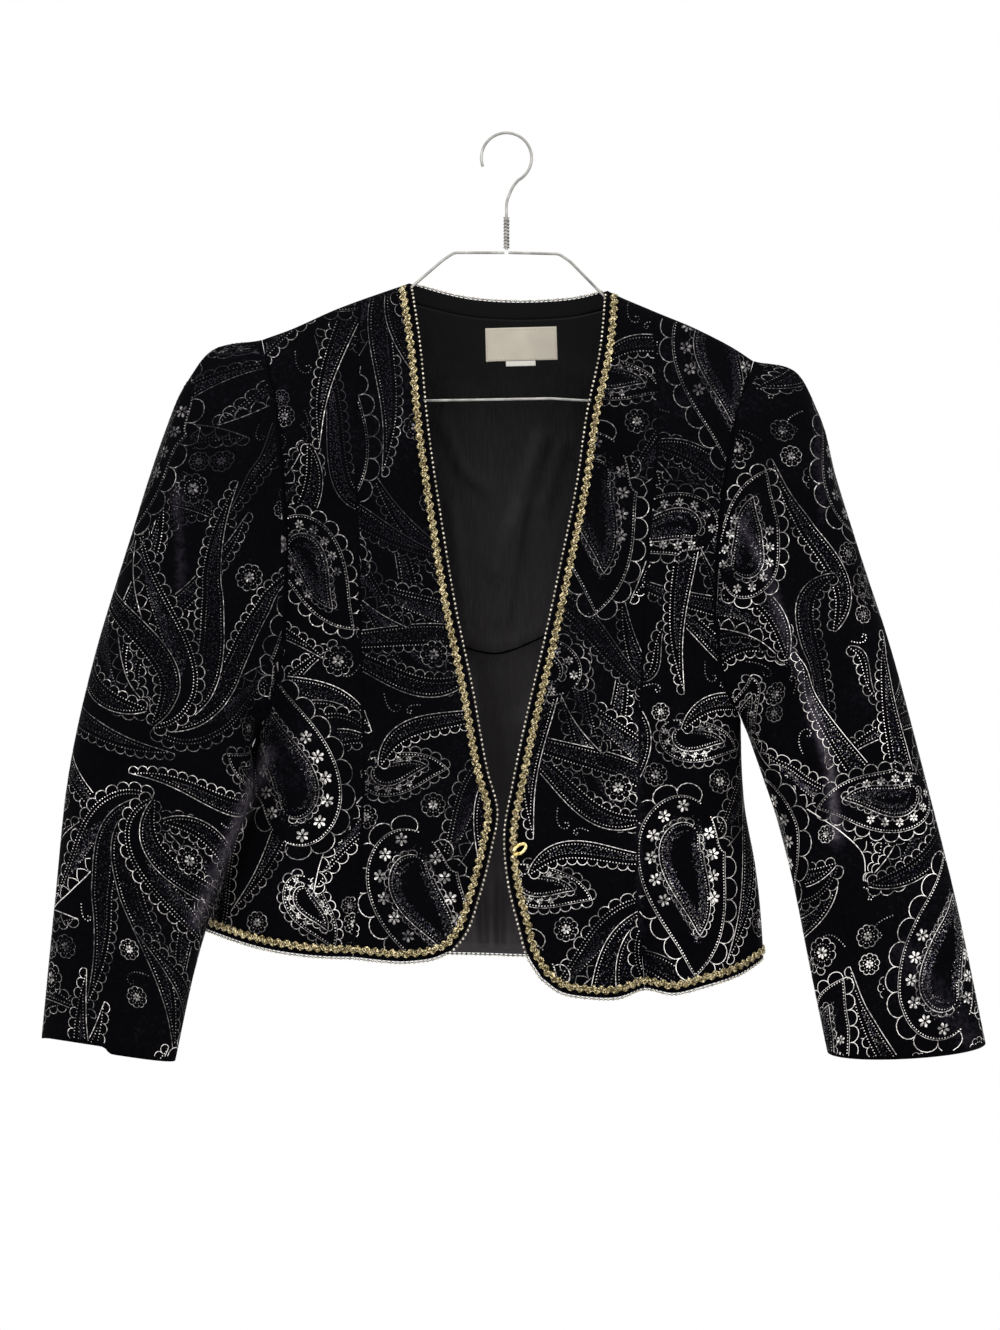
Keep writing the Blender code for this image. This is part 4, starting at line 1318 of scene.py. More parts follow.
def inside_outline(points, outline):
    """Which points lie in a closed outline."""
    found = np.zeros(len(points), bool)
    low, high = outline.min(axis=0), outline.max(axis=0)
    near = np.where(((points > low) & (points < high)).all(axis=1))[0]
    if not len(near):
        return found
    x, y = points[near, 0], points[near, 1]
    odd = np.zeros(len(near), bool)
    after = np.roll(outline, -1, axis=0)
    for (x0, y0), (x1, y1) in zip(outline, after):
        if y0 != y1:
            odd ^= ((y0 > y) != (y1 > y)) & (x < (x1 - x0) * (y - y0) / (y1 - y0) + x0)
    found[near] = odd
    return found


def repeat_unit():
    """One repeat of the print: line points with their half widths and links, and dots."""
    covered = []
    points, across, linked, gains = [], [], [], []
    spots, radii, spot_tints, spot_gains = [], [], [], []
    rng = np.random.default_rng(FILL_SEED)

    def seen(path):
        keep = np.ones(len(path), bool)
        for outline in covered:
            keep &= ~inside_outline(path, outline)
        return keep

    tries = [(*row, -1.0) for row in MOTIFS]
    for x, y, length, middle, step, count, sweep in PLUMES:
        for k in range(count):
            off = k - (count - 1) / 2
            kind = "frond" if k % 3 == 1 else "feather"
            shorter = length * (1 - 0.07 * abs(off)) * (0.84 if kind == "frond" else 1)
            bend = sweep * PLUME_BEND - PLUME_SPREAD * off
            tries.append((kind, x, y, shorter, middle + step * off, bend, -1.0))
    for kind, count, short, long, open_share in FILLERS:
        for _ in range(count):
            x, y = rng.random(2) * REPEAT
            bend = rng.uniform(0.35, 0.65) * rng.choice((-1, 1))
            tries.append((kind, x, y, rng.uniform(short, long), rng.uniform(0, 360), bend, open_share))
    for kind, x, y, length, degrees, bend, open_share in tries:
        sketch = KINDS[kind](length, bend)
        turn = math.radians(degrees)
        spin = np.array([[math.cos(turn), math.sin(turn)], [-math.sin(turn), math.cos(turn)]])
        if seen(respace(sketch.outline @ spin + (x, y), 4.0)).mean() < open_share:
            continue
        own_gain = rng.uniform(-0.24, 0.18) - (FILL_DIM if open_share > 0 else 0)
        for path, width in sketch.strokes:
            path = path @ spin + (x, y)
            keep = seen(path)
            points.append(path)
            across.append(sideways(path) * np.reshape(width, (-1, 1)) / 2)
            link = keep.copy()
            link[:-1] &= keep[1:]
            link[-1] = False
            linked.append(link)
            gains.append(np.full(len(path), own_gain + rng.uniform(-0.08, 0.14)))
        for path, radius, tint, gain in sketch.spots:
            path = path @ spin + (x, y)
            keep = seen(path)
            spots.append(path[keep])
            radii.append(radius[keep])
            spot_tints.append(np.full(keep.sum(), tint))
            spot_gains.append(np.full(keep.sum(), own_gain + gain + rng.uniform(-0.1, 0.1)))
        outline = respace(sketch.outline @ spin + (x, y), 4.0)
        for i in (-1, 0, 1):
            for j in (-1, 0, 1):
                covered.append(outline + (i * REPEAT[0], j * REPEAT[1]))
    lines = (points, across, linked, gains)
    return [np.concatenate(rows) for rows in (*lines, spots, radii, spot_tints, spot_gains)]


UNIT = []


def printed(name, place, box, shift, degrees):
    """Foil print over a panel: place turns flat places into points and says which are on the cloth."""
    if not UNIT:
        UNIT.extend(repeat_unit())
    points, across, linked, gains, spots, radii, spot_tints, spot_gains = UNIT
    turn = math.radians(degrees)
    spin = np.array([[math.cos(turn), math.sin(turn)], [-math.sin(turn), math.cos(turn)]])
    low, high = np.array(box[0], float), np.array(box[1], float)
    corners = np.array([(a, b) for a in (low[0], high[0]) for b in (low[1], high[1])]) - shift
    corners = corners @ spin.T / REPEAT
    first = np.floor(corners.min(axis=0)).astype(int) - 1
    last = np.ceil(corners.max(axis=0)).astype(int) + 1
    rows = [[] for _ in range(8)]
    for i in range(first[0], last[0]):
        for j in range(first[1], last[1]):
            move = np.array([i * REPEAT[0], j * REPEAT[1]])
            flat = (points + move) @ spin + shift
            near = ((flat > low) & (flat < high)).all(axis=1)
            link = linked & near
            link[:-1] &= near[1:]
            used = link.copy()
            used[1:] |= link[:-1]
            for row, values in zip(rows, (flat, across @ spin, link, gains)):
                row.append(values[used])
            flat = (spots + move) @ spin + shift
            near = ((flat > low) & (flat < high)).all(axis=1)
            for row, values in zip(rows[4:], (flat, radii, spot_tints, spot_gains)):
                row.append(values[near])
    flat, wide, link, gain, dots, radius, dot_tint, dot_gain = [np.concatenate(row) for row in rows]

    lift, on = placed(place, flat)
    left = place(flat + wide)[0] + lift
    right = place(flat - wide)[0] + lift
    count = len(flat)
    keep = np.where(link[:-1] & on[:-1] & on[1:])[0]
    quads = np.stack([keep, keep + count, keep + 1 + count, keep + 1], axis=-1)
    lift, on = placed(place, dots)
    turns = np.arange(6) * math.pi / 3
    rings = []
    for a in turns:
        rings.append(place(dots + radius[:, None] * (math.cos(a), math.sin(a)))[0] + lift)
    ring = np.stack(rings, axis=1)[on]
    hexes = np.arange(len(ring) * 6).reshape(-1, 6) + 2 * count
    vertices = np.concatenate([left, right, ring.reshape(-1, 3)])
    used, back = np.unique(np.concatenate([quads.ravel(), hexes.ravel()]), return_inverse=True)
    quads = back[:quads.size].reshape(-1, 4)
    hexes = back[quads.size:].reshape(-1, 6)
    vertices = vertices[used]
    gain = np.concatenate([gain, gain, np.repeat(dot_gain[on], 6)])[used]
    data = bpy.data.meshes.new(name)
    quads, hexes = facing(vertices, quads, place), facing(vertices, hexes, place)
    fill(data, vertices, [quads, hexes])
    data.attributes.new("shine", "FLOAT", "POINT").data.foreach_set("value", foil_painted_light(vertices) + gain)
    piece = show(name, data, "velvet", "silver", "violet")
    tints = np.concatenate([np.zeros(len(quads)), dot_tint[on]])
    data.polygons.foreach_set("material_index", tints.astype(np.int32))
    data.update()
    return piece


def placed(place, flat):
    """Lift of the foil off the cloth at flat places, and whether they are on it."""
    point, on = place(flat)
    step_x = place(flat + (0.4, 0))[0] - point
    step_y = place(flat + (0, 0.4))[0] - point
    normal = unit(np.cross(step_x, step_y)) * place.sign
    return normal * FOIL_LIFT, on


def facing(vertices, faces, place):
    """Turn faces so that they look away from the cloth."""
    if not len(faces):
        return faces
    a, b, c = (vertices[faces[:, i]] for i in (0, 1, 2))
    normal = np.cross(b - a, c - a)
    middle = vertices[faces].mean(axis=1)
    wrong = np.einsum("ij,ij->i", normal, place.outward(middle)) < 0
    faces = faces.copy()
    faces[wrong] = faces[wrong][:, ::-1]
    return faces


def foil_painted_light(points):
    """Painted light on the foil: brighter to the viewer's right, low on the sleeves and along the hem, where
    the light falls.
    """
    x, drop = points[:, 0], -points[:, 2]
    right = np.clip((x + 60) / 190, 0, 1)
    low = np.clip((drop - 260) / 330, 0, 1)
    return 0.13 + 0.18 * right + 0.41 * low


class BodyCloth:
    """Flat places on the body: across the cloth from the middle, and drop."""

    turns = np.linspace(0, math.pi, 721)

    def __init__(self, face, on_panel):
        self.face = face
        self.on_panel = on_panel
        self.sign = 1
        x, y = np.cos(self.turns), 0.25 * lens(self.turns)
        run = np.concatenate([[0], np.cumsum(np.hypot(np.diff(x), np.diff(y)))])
        self.run = run[-1] / 2 - run
        probe = np.array([[60.0, 400.0]])
        point = self(probe)[0]
        normal = np.cross(self(probe + (0.4, 0))[0] - point, self(probe + (0, 0.4))[0] - point)
        self.sign = float(np.sign(normal[0, 1] * face))

    def __call__(self, flat):
        across, drop = flat[:, 0], flat[:, 1]
        centre, half = body_axis(drop)
        share = (across - centre) / half
        angle = np.interp(share, self.run[::-1], self.turns[::-1])
        point = body_point(angle, drop, self.face)
        on = (np.abs(share) < self.run[0] - 0.004) & (drop > ridge(point[:, 0]) + 1.5)
        return point, on & self.on_panel(point[:, 0], drop)

    def outward(self, points):
        return np.array([[0.0, self.face, 0.0]]) + 0 * points


def front_hem_drop(side, x):
    rows = FRONT_HEM[side][np.argsort(FRONT_HEM[side][:, 0])]
    return np.interp(x, rows[:, 0], rows[:, 1])


def on_front(side, panel):
    """Test for a front panel: inside the braid, the armhole and the hem, and clear of the princess seam."""
    sign = SIDES[side]
    outer = 1 if panel == "side" else -1

    def test(x, drop):
        edge = smooth(FRONT_EDGE[side][:, 1], FRONT_EDGE[side][:, 0], drop)
        share = (drop - ridge(SHOULDER_POINT[side])) / (ARMPIT_DROP[side] - ridge(SHOULDER_POINT[side]))
        arm = armhole_line(side, np.clip(share, 0, 1), FRONT)[0]
        arm = np.where(share < 1, arm, sign * 400)
        seam = smooth(PRINCESS[side][:, 1], PRINCESS[side][:, 0], drop)
        trim = BRAID_INSET + BRAID_WIDTH * 0.5
        return (
            (sign * (x - edge) > trim)
            & (sign * (arm - x) > 1.2)
            & (drop < front_hem_drop(side, x) - trim)
            & (outer * sign * (x - seam) > 0.8)
        )

    return test


def on_back(x, drop):
    keep = drop < np.interp(x, BACK_HEM[:, 0], BACK_HEM[:, 1]) - BRAID_INSET - BRAID_WIDTH / 2
    keep &= drop > np.where(
        (x > NECK[0, 0]) & (x < NECK[-1, 0]),
        np.interp(x, NECK[:, 0], NECK[:, 1]) + BRAID_INSET + BRAID_WIDTH / 2, 0,
    )
    for side, sign in SIDES.items():
        share = (drop - ridge(SHOULDER_POINT[side])) / (ARMPIT_DROP[side] - ridge(SHOULDER_POINT[side]))
        arm = armhole_line(side, np.clip(share, 0, 1), BACK)[0]
        keep &= np.where(share < 1, sign * (arm - x) > 1.2, True)
    return keep


class SleeveCloth:
    """Flat places on a sleeve: across from its outer fold, front positive, and down its length."""

    slices = 150

    def __init__(self, side):
        self.side = side
        table = SLEEVE[side]
        start = (table[0, 1:3] + table[0, 3:5]) / 2
        end = (table[-1, 1:3] + table[-1, 3:5]) / 2
        self.axis = (end - start) / np.hypot(*(end - start))
        self.angles = np.linspace(-math.pi, math.pi, 241)
        stations = np.linspace(0, 1, 161)
        phi, w = np.meshgrid(self.angles, stations, indexing="ij")
        points = sleeve_point(side, phi, w)
        length = points[..., 0] * self.axis[0] - points[..., 2] * self.axis[1]
        length = np.maximum.accumulate(length, axis=1)
        self.levels = np.linspace(length.min(), length.max(), self.slices)
        self.station = np.stack([np.interp(self.levels, row, stations) for row in length], axis=1)
        ring = sleeve_point(side, np.broadcast_to(self.angles, self.station.shape), self.station)
        gaps = np.linalg.norm(np.diff(ring, axis=1), axis=-1)
        gaps[(self.station[:, 1:] <= 0) & (self.station[:, :-1] <= 0)] *= 1e-3
        run = np.concatenate([np.zeros((self.slices, 1)), np.cumsum(gaps, axis=1)], axis=1)
        self.run = run - run[:, [len(self.angles) // 2]]
        self.sign = 1
        level = self.levels[self.slices // 2]
        probe = np.array([[40.0, level]])
        point = self(probe)[0]
        normal = np.cross(self(probe + (0.4, 0))[0] - point, self(probe + (0, 0.4))[0] - point)
        self.sign = float(np.sign(-normal[0, 1]))
        self.box = ((self.run.min(), self.levels[0]), (self.run.max(), self.levels[-1]))

    def __call__(self, flat):
        across, length = flat[:, 0], flat[:, 1]
        step = self.levels[1] - self.levels[0]
        row = np.clip((length - self.levels[0]) / step, 0, self.slices - 1.001)
        low = row.astype(int)
        share = row - low
        angle = np.zeros(len(flat))
        station = np.zeros(len(flat))
        for k in np.unique(low):
            here = low == k
            part = across[here]
            first = np.interp(part, self.run[k], self.angles)
            second = np.interp(part, self.run[k + 1], self.angles)
            angle[here] = first * (1 - share[here]) + second * share[here]
            first = np.interp(angle[here], self.angles, self.station[k])
            second = np.interp(angle[here], self.angles, self.station[k + 1])
            station[here] = first * (1 - share[here]) + second * share[here]
        on = (station > 0.006) & (station < 0.996) & (np.abs(angle) < math.pi - 0.01)
        return sleeve_point(self.side, angle, station), on

    def outward(self, points):
        """Away from the sleeve's middle line."""
        table = SLEEVE[self.side]
        length = points[:, 0] * self.axis[0] - points[:, 2] * self.axis[1]
        at = (table[:, 1] + table[:, 3]) / 2 * self.axis[0] + (table[:, 2] + table[:, 4]) / 2 * self.axis[1]
        middle = np.stack([
            np.interp(length, at, (table[:, 1] + table[:, 3]) / 2),
            np.interp(length, at, table[:, 7]),
            -np.interp(length, at, (table[:, 2] + table[:, 4]) / 2),
        ], axis=-1)
        out = points - middle
        ahead = np.array([self.axis[0], 0.0, -self.axis[1]])
        return out - (out @ ahead)[:, None] * ahead


# ---------------------------------------------------------------- trims


class Strip:
    """Places along a trim: the cloth's points, the way across and the way out, by length."""

    def __init__(self, line, face, distance, turn):
        angle, drop = inset(*line, face, distance, turn)
        self.point = body_point(angle, drop, face)
        self.out = body_normal(angle, drop, face)
        gap = np.linalg.norm(np.diff(self.point, axis=0), axis=1)
        self.run = np.concatenate([[0], np.cumsum(gap)])
        ahead = unit(np.gradient(self.point, axis=0))
        self.across = unit(np.cross(self.out, ahead))
        self.length = self.run[-1]

    def at(self, run, across, out):
        read = lambda rows: np.stack([np.interp(run, self.run, rows[:, i]) for i in range(3)], axis=-1)
        return read(self.point) + read(self.across) * across[:, None] + read(self.out) * out[:, None]


TRIMS = {
    "front_right": (FRONT, -1),
    "front_left": (FRONT, 1),
    "back_hem": (BACK, 1),
    "back_neck": (BACK, -1),
}


def trim_line(name):
    if name == "back_hem":
        return back_bottom(np.linspace(0.008, 0.992, 420))
    if name == "back_neck":
        return back_top(np.linspace(NECK_FROM + 0.008, NECK_TO - 0.008, 160))
    return edge_line(name.split("_")[1])


def braid(name, pitch):
    """Scroll gimp: a flat rope of cords, twisted once in each wave that it winds along the edge."""
    face, turn = TRIMS[name]
    strip = Strip(trim_line(name), face, BRAID_INSET + BRAID_WIDTH / 2, turn)
    loops = max(round(strip.length / pitch), 2)
    phase = np.linspace(0, loops * 2 * math.pi, loops * BRAID_POINTS + 1)
    run = phase / (2 * math.pi) * strip.length / loops
    reach = BRAID_WIDTH / 2 - BRAID_CORD - BRAID_WAVE
    parts = []
    for start in np.arange(BRAID_CORDS) * 2 * math.pi / BRAID_CORDS:
        twist = phase + start
        across = BRAID_WAVE * np.sin(phase) + reach * np.cos(twist)
        out = BRAID_CORD + 0.5 + 0.5 * np.sin(twist)
        parts.append(cord(strip.at(run, across, out), BRAID_CORD, 4))
    piece = joined(f"braid_{name}_gimp", *gather(parts), "gilt", "braid")
    outward_faces(piece.data)
    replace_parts(piece, f"braid_{name}")
    return piece


def beads(name, pitch):
    """Row of round beads along an edge, on the piping's line."""
    face, turn = TRIMS[name]
    line = trim_line(name)
    edge = body_point(*line, face)
    away = unit(edge - body_point(*inset(*line, face, 4.0, turn), face))
    path = edge + away * (BEAD_RADIUS + 0.15) - body_normal(*line, face) * WALL / 2
    run = np.concatenate([[0], np.cumsum(np.linalg.norm(np.diff(path, axis=0), axis=1))])
    at = np.arange(pitch / 2, run[-1], pitch)
    centres = np.stack([np.interp(at, run, path[:, i]) for i in range(3)], axis=-1)
    form = bmesh.new()
    bmesh.ops.create_uvsphere(form, u_segments=8, v_segments=6, radius=BEAD_RADIUS)
    form.verts.ensure_lookup_table()
    ball = np.array([vert.co[:] for vert in form.verts])
    squares = np.array([[v.index for v in face.verts] for face in form.faces if len(face.verts) == 4])
    caps = np.array([[v.index for v in face.verts] for face in form.faces if len(face.verts) == 3])
    form.free()
    count = np.arange(len(centres))[:, None, None] * len(ball)
    thread_points, thread_quads = cord(
        np.stack([np.interp(np.arange(0, run[-1], 2.0), run, path[:, i]) for i in range(3)], axis=-1), 0.35, 4
    )
    points = np.concatenate([(centres[:, None] + ball[None]).reshape(-1, 3), thread_points])
    thread_quads = thread_quads + len(centres) * len(ball)
    squares = np.concatenate([(squares[None] + count).reshape(-1, 4), thread_quads])
    data = bpy.data.meshes.new(f"piping_{name}_beads")
    fill(data, points, [squares, (caps[None] + count).reshape(-1, 3)])
    outward_faces(data)
    piece = show(f"piping_{name}_beads", data, "gilt", "bead", "facing")
    dark = np.zeros(len(data.polygons), np.int32)
    dark[len(squares) - len(thread_quads):len(squares)] = 1
    data.polygons.foreach_set("material_index", dark)
    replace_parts(piece, f"piping_{name}")
    return piece


# ---------------------------------------------------------------- settings and operators


class JACKET_PG_cloth(bpy.types.PropertyGroup):
    wall: bpy.props.FloatProperty(
        name="Velvet thickness", description="Thickness of velvet with its lining",
        default=WALL, min=0.8, max=3.0,
    )
    density: bpy.props.FloatProperty(
        name="Mesh density", description="Factor on the number of rows and columns",
        default=1.0, min=0.2, max=1.5,
    )


class JACKET_PG_trim(bpy.types.PropertyGroup):
    braid_pitch: bpy.props.FloatProperty(
        name="Braid pitch", description="Length of one scroll in millimetres", default=7.3, min=5.0, max=20.0
    )
    bead_pitch: bpy.props.FloatProperty(
        name="Bead pitch", description="Distance between beads in millimetres", default=3.8, min=2.4, max=6.0
    )


class JACKET_PG_stage(bpy.types.PropertyGroup):
    distance: bpy.props.FloatProperty(
        name="Camera distance", description="From the camera to the front of the jacket",
        default=5.0, min=1.0, max=8.0, subtype="DISTANCE", unit="LENGTH",
    )
    brightness: bpy.props.FloatProperty(
        name="Room light", description="Strength of the even light all round", default=1.0, min=0.1, max=3.0
    )


def steps(context, count):
    return max(int(count * context.scene.jacket_cloth.density), 4)


def velvet_panel(context, node, points, outward):
    """Velvet shell in place of one panel's solid."""
    wall = context.scene.jacket_cloth.wall
    piece = cloth(f"{node}_velvet", points, outward, wall, "velvet", "velvet", "facing")
    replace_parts(piece, node)
    return piece


class JACKET_OT_hanger(bpy.types.Operator):
    """Bend the hanger's wire"""

    bl_idname = "jacket.hanger"
    bl_label = "Wire hanger"

    def execute(self, context):
        turn = np.radians(np.linspace(-62, 200, 90))
        radius = HOOK_RADIUS + WIRE_RADIUS
        loop = [(radius * math.cos(a), 0, -HOOK_RADIUS + radius * math.sin(a)) for a in turn]
        neck = rounded_path([(0, 0, -HOOK_NECK_DROP), (0, 0, -54), (5, 0, -42), loop[0]], 1.0, 7.0)
        paths = {"hanger_hook": np.concatenate([neck[:-1], loop])}
        for name, rows in HANGER_LINES.items():
            paths[name] = rounded_path([(x, 0, -drop) for x, drop in rows], 1.5, 5.0)
        for name, path in paths.items():
            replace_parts(wire(f"{name}_wire", path, WIRE_RADIUS, "steel", "steel"), name)
        twist = np.linspace(0, 9 * math.pi, 120)
        for start, name in ((0, "first"), (math.pi, "second")):
            coil = np.stack([
                1.5 * WIRE_RADIUS * np.cos(twist + start), 1.5 * WIRE_RADIUS * np.sin(twist + start),
                -(HOOK_NECK_DROP - 26) - 24 * twist / twist[-1],
            ], axis=-1)
            wire(f"hanger_twist_{name}", coil, 0.72 * WIRE_RADIUS, "steel", "steel")
        return {"FINISHED"}


class JACKET_OT_fronts(bpy.types.Operator):
    """Hang the two fronts, each of a centre and a side panel"""

    bl_idname = "jacket.fronts"
    bl_label = "Velvet fronts"

    def execute(self, context):
        rows = np.linspace(0, 1, steps(context, 170))
        for side in SIDES:
            u, v = grid(np.linspace(0, 1, steps(context, 34)), rows)
            velvet_panel(context, f"front_{side}_centre", front_centre(side)(u, v), (0, -1, 0))
            u, v = grid(np.linspace(0, 1, steps(context, 44)), rows)
            velvet_panel(context, f"front_{side}_side", front_side(side)(u, v), (0, -1, 0))
        return {"FINISHED"}


class JACKET_OT_back(bpy.types.Operator):
    """Hang the velvet back and its satin lining"""

    bl_idname = "jacket.back"
    bl_label = "Velvet back and lining"

    def execute(self, context):
        u, v = grid(np.linspace(0, 1, steps(context, 101)), np.linspace(0, 1, steps(context, 120)))
        velvet_panel(context, "back_panel", back_surface(u, v), (0, 1, 0))
        across = np.linspace(-1, 1, steps(context, 130))
        across = 0.5 + 0.46 * (0.35 * across + 0.65 * across ** 3)
        u, v = grid(across, np.linspace(0.1, 0.994, steps(context, 124)))
        points = lining_point(*back_patch(u, v))
        piece = cloth("back_lining_satin", points, (0, -1, 0), LINING_WALL, "satin", "satin")
        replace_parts(piece, "back_lining")
        self.seam()
        return {"FINISHED"}

    @staticmethod
    def seam():
        """Turned edge along the curved seam of the lining, made of the near-black velvet so that it reads as
        painted shadow under the lap.
        """
        x = np.linspace(-110, 110, 180)
        drop = smooth(LINING_SEAM[:, 0], LINING_SEAM[:, 1], x) + 0.5
        angle = angle_at(x, drop)
        path = lining_point(angle, drop) - body_normal(angle, drop, BACK) * 0.3
        # Near-black cord as painted shadow along the lining's seam.
        piece = joined("back_lining_seam_shadow", *cord(path, 0.8, 6), "satin", "velvet")
        outward_faces(piece.data)


class JACKET_OT_sleeves(bpy.types.Operator):
    """Set in the two sleeves, each of an upper and an under panel"""

    bl_idname = "jacket.sleeves"
    bl_label = "Velvet sleeves"

    def execute(self, context):
        seam = sleeve_angles()
        front, back = seam[FRONT_SLEEVE_SEAM_ROW], -seam[BACK_SLEEVE_SEAM_ROW]
        spans = {"upper": (back, front, 92), "under": (front, back + 2 * math.pi, 44)}
        stations = np.linspace(0, 1, steps(context, 136))
        for side in SIDES:
            for name, (start, end, count) in spans.items():
                angles = np.linspace(start, end, steps(context, count))
                phi, w = grid(angles, stations)
                a, b = len(angles) // 2, len(stations) // 2
                outward = sleeve_normals(side, phi[a:a + 1, b:b + 1], w[a:a + 1, b:b + 1])[0, 0]
                velvet_panel(context, f"sleeve_{side}_{name}", sleeve_point(side, phi, w), outward)
        return {"FINISHED"}


class JACKET_OT_print(bpy.types.Operator):
    """Lay the foil print over every velvet panel"""

    bl_idname = "jacket.print"
    bl_label = "Foil print"

    def execute(self, context):
        for name, (shift, turn) in FRONT_PRINT.items():
            side, panel = name.split("_")
            front = BodyCloth(FRONT, on_front(side, panel))
            printed(f"foil_front_{name}", front, PRINT_BOX[side], shift, turn)
        printed("foil_back", BodyCloth(BACK, on_back), PRINT_BOX["back"], *BACK_PRINT)
        for side, (shift, turn) in SLEEVE_PRINT.items():
            sleeve = SleeveCloth(side)
            printed(f"foil_sleeve_{side}", sleeve, sleeve.box, shift, turn)
        return {"FINISHED"}


class JACKET_OT_trims(bpy.types.Operator):
    """Sew on the gimp braid and the row of beads"""

    bl_idname = "jacket.trims"
    bl_label = "Braid and beads"

    def execute(self, context):
        settings = context.scene.jacket_trim
        for name in TRIMS:
            braid(name, settings.braid_pitch)
            beads(name, settings.bead_pitch)
        return {"FINISHED"}


class JACKET_OT_labels(bpy.types.Operator):
    """Sew in the blank woven label and the tape below it"""

    bl_idname = "jacket.labels"
    bl_label = "Blank label"

    def execute(self, context):
        tape = (LABEL_CENTRE[0] + TAB_OFFSET[0], LABEL_CENTRE[1] + TAB_OFFSET[1])
        plates = {
            "neck_label": (LABEL_SIZE, LABEL_CENTRE, 59, 28, "label"),
            "size_tab": (TAB_SIZE, tape, 25, 6, "tab"),
        }
        for node, (size, centre, columns, rows, finish) in plates.items():
            u, v = grid(np.linspace(-0.5, 0.5, columns), np.linspace(-0.5, 0.5, rows))
            points = self.on_lining(u * size[0], v * size[1], centre, LABEL_GAP + LABEL_WALL)
            piece = cloth(f"{node}_woven", points, (0, -1, 0), LABEL_WALL, "label", finish)
            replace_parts(piece, node)
        self.stitches()
        return {"FINISHED"}

    @staticmethod
    def on_lining(across, below, centre, lift):
        """Points on the lining about a tilted label's middle."""
        x = centre[0] + across * math.cos(LABEL_TILT) - below * math.sin(LABEL_TILT)
        drop = centre[1] + across * math.sin(LABEL_TILT) + below * math.cos(LABEL_TILT)
        angle = angle_at(x, drop)
        return lining_point(angle, drop) - body_normal(angle, drop, BACK) * lift

    def stitches(self):
        """Small straight stitches round the label."""
        width, height = LABEL_SIZE[0] - 3.0, LABEL_SIZE[1] - 3.0
        corners = np.array([(-1, -1), (1, -1), (1, 1), (-1, 1), (-1, -1)]) * (width / 2, height / 2)
        path = respace(corners, 0.7)
        parts = []
        for first in range(0, len(path) - 4, 5):
            rows = path[first:first + 4]
            lift = LABEL_GAP + LABEL_WALL + np.array([0.02, 0.16, 0.16, 0.02])[:, None]
            parts.append(cord(self.on_lining(rows[:, 0], rows[:, 1], LABEL_CENTRE, lift), 0.16, 4))
        piece = joined("neck_label_stitches", *gather(parts), "label", "thread")
        outward_faces(piece.data)


class JACKET_OT_clasp(bpy.types.Operator):
    """Bend the closing hook at the wearer's left front edge"""

    bl_idname = "jacket.clasp"
    bl_label = "Closing hook"

    def execute(self, context):
        bend = along(CLASP_BEND, np.linspace(0, 1, 80))
        x, drop = CLASP_CENTRE[0] + bend[0], CLASP_CENTRE[1] + bend[1]
        angle = angle_at(x, drop)
        lift = LABEL_GAP + BRAID_LIFT + BRAID_HEIGHT + CLASP_RADIUS
        path = body_point(angle, drop, FRONT) + body_normal(angle, drop, FRONT) * lift
        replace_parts(wire("clasp_hook_wire", path, CLASP_SHOWN_RADIUS, "gilt", "clasp"), "clasp_hook")
        return {"FINISHED"}


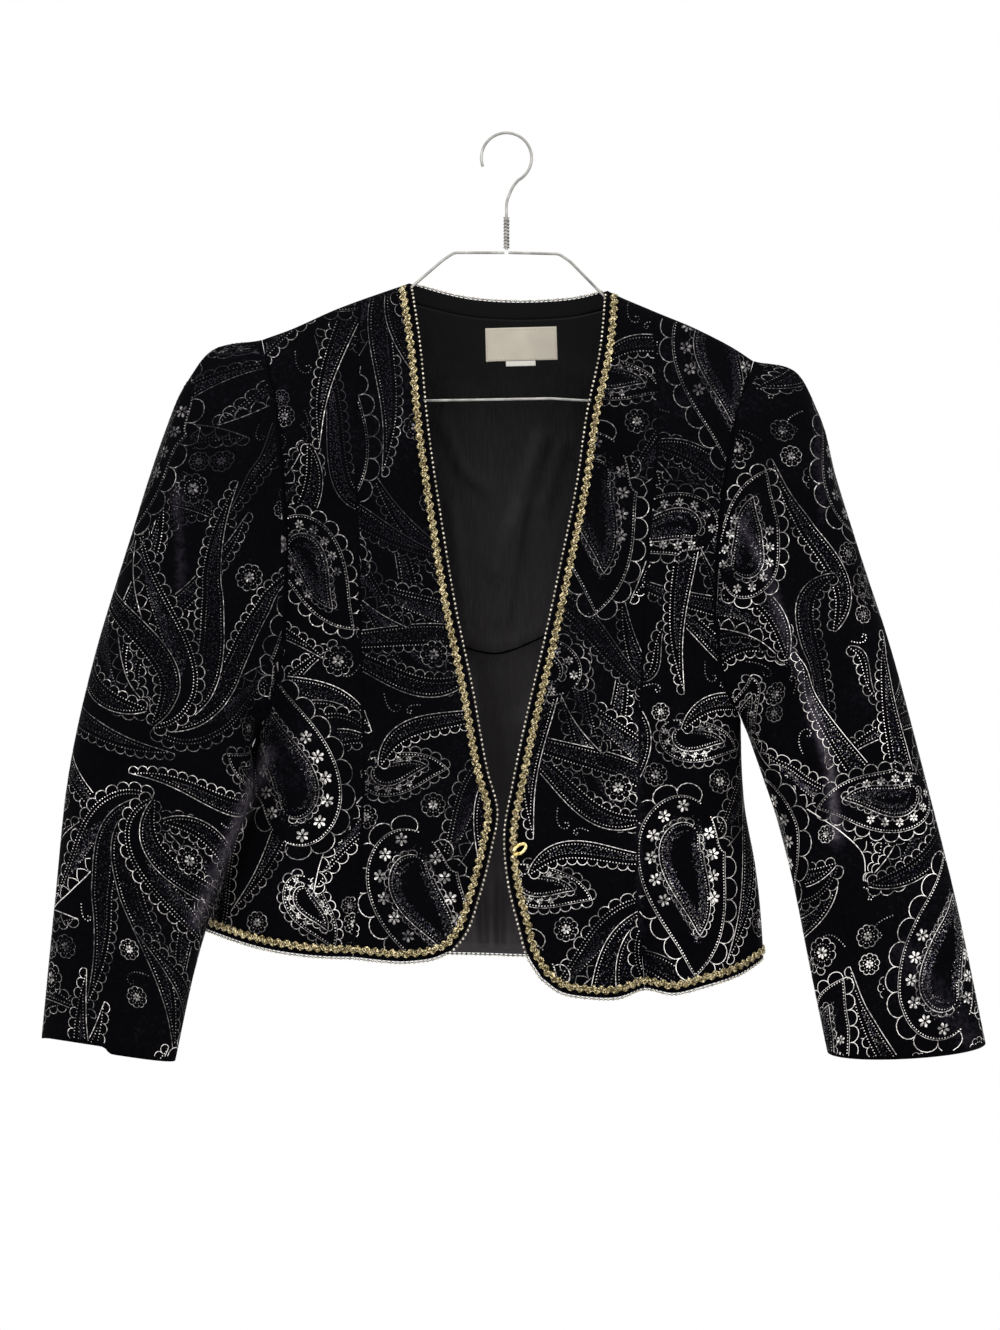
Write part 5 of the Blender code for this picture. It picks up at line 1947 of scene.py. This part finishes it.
class JACKET_OT_stage(bpy.types.Operator):
    """Set the floor, the light and the camera"""

    bl_idname = "jacket.stage"
    bl_label = "Stage"

    def execute(self, context):
        settings = context.scene.jacket_stage
        form = bmesh.new()
        lowered = Matrix.Translation((0, 0, FLOOR_HEIGHT))
        bmesh.ops.create_circle(form, cap_ends=True, segments=96, radius=FLOOR_RADIUS, matrix=lowered)
        data = bpy.data.meshes.new("floor")
        form.to_mesh(data)
        form.free()
        data.materials.append(floor_material())
        floor = bpy.data.objects.new("floor", data)
        context.scene.collection.objects.link(floor)
        for name, place, size, power in LIGHTS:
            lamp = bpy.data.lights.new(name, "AREA")
            lamp.size = size
            lamp.energy = power
            item = bpy.data.objects.new(name, lamp)
            item.location = place
            item.rotation_euler = self.aim(place, LOOK_AT)
            context.scene.collection.objects.link(item)
        world = bpy.data.worlds.new("studio")
        world.use_nodes = True
        sky = world.node_tree.nodes["Background"]
        sky.inputs["Color"].default_value = (1, 1, 1, 1)
        sky.inputs["Strength"].default_value = settings.brightness
        context.scene.world = world
        context.scene.view_settings.view_transform = "Standard"
        camera = bpy.data.cameras.new("camera")
        camera.lens = camera.sensor_width * settings.distance / VIEW_HEIGHT
        item = bpy.data.objects.new("camera", camera)
        item.location = (LOOK_AT[0], LOOK_AT[1] - settings.distance, LOOK_AT[2])
        item.rotation_euler = (math.pi / 2, 0, 0)
        context.scene.collection.objects.link(item)
        context.scene.camera = item
        return {"FINISHED"}

    @staticmethod
    def aim(place, target):
        x, y, z = (b - a for a, b in zip(place, target))
        return (math.atan2(math.hypot(x, y), -z), 0.0, math.atan2(-x, y))


class JACKET_PT_panel(bpy.types.Panel):
    bl_label = "Velvet jacket"
    bl_idname = "JACKET_PT_panel"
    bl_space_type = "VIEW_3D"
    bl_region_type = "UI"
    bl_category = "Jacket"

    def draw(self, context):
        for settings in ("jacket_cloth", "jacket_trim", "jacket_stage"):
            group = getattr(context.scene, settings)
            box = self.layout.box()
            for name in group.__annotations__:
                box.prop(group, name)
        for operator in OPERATORS:
            self.layout.operator(operator.bl_idname)


OPERATORS = (
    JACKET_OT_hanger,
    JACKET_OT_fronts,
    JACKET_OT_back,
    JACKET_OT_sleeves,
    JACKET_OT_print,
    JACKET_OT_trims,
    JACKET_OT_labels,
    JACKET_OT_clasp,
    JACKET_OT_stage,
)
GROUPS = {
    "jacket_cloth": JACKET_PG_cloth,
    "jacket_trim": JACKET_PG_trim,
    "jacket_stage": JACKET_PG_stage,
}


def register():
    for item in (*GROUPS.values(), *OPERATORS, JACKET_PT_panel):
        bpy.utils.register_class(item)
    for name, group in GROUPS.items():
        setattr(bpy.types.Scene, name, bpy.props.PointerProperty(type=group))


def unregister():
    for name in GROUPS:
        delattr(bpy.types.Scene, name)
    for item in reversed((*GROUPS.values(), *OPERATORS, JACKET_PT_panel)):
        bpy.utils.unregister_class(item)


def main():
    register()
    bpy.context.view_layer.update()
    for operator in OPERATORS:
        group, action = operator.bl_idname.split(".")
        getattr(getattr(bpy.ops, group), action)()


if __name__ == "__main__":
    main()
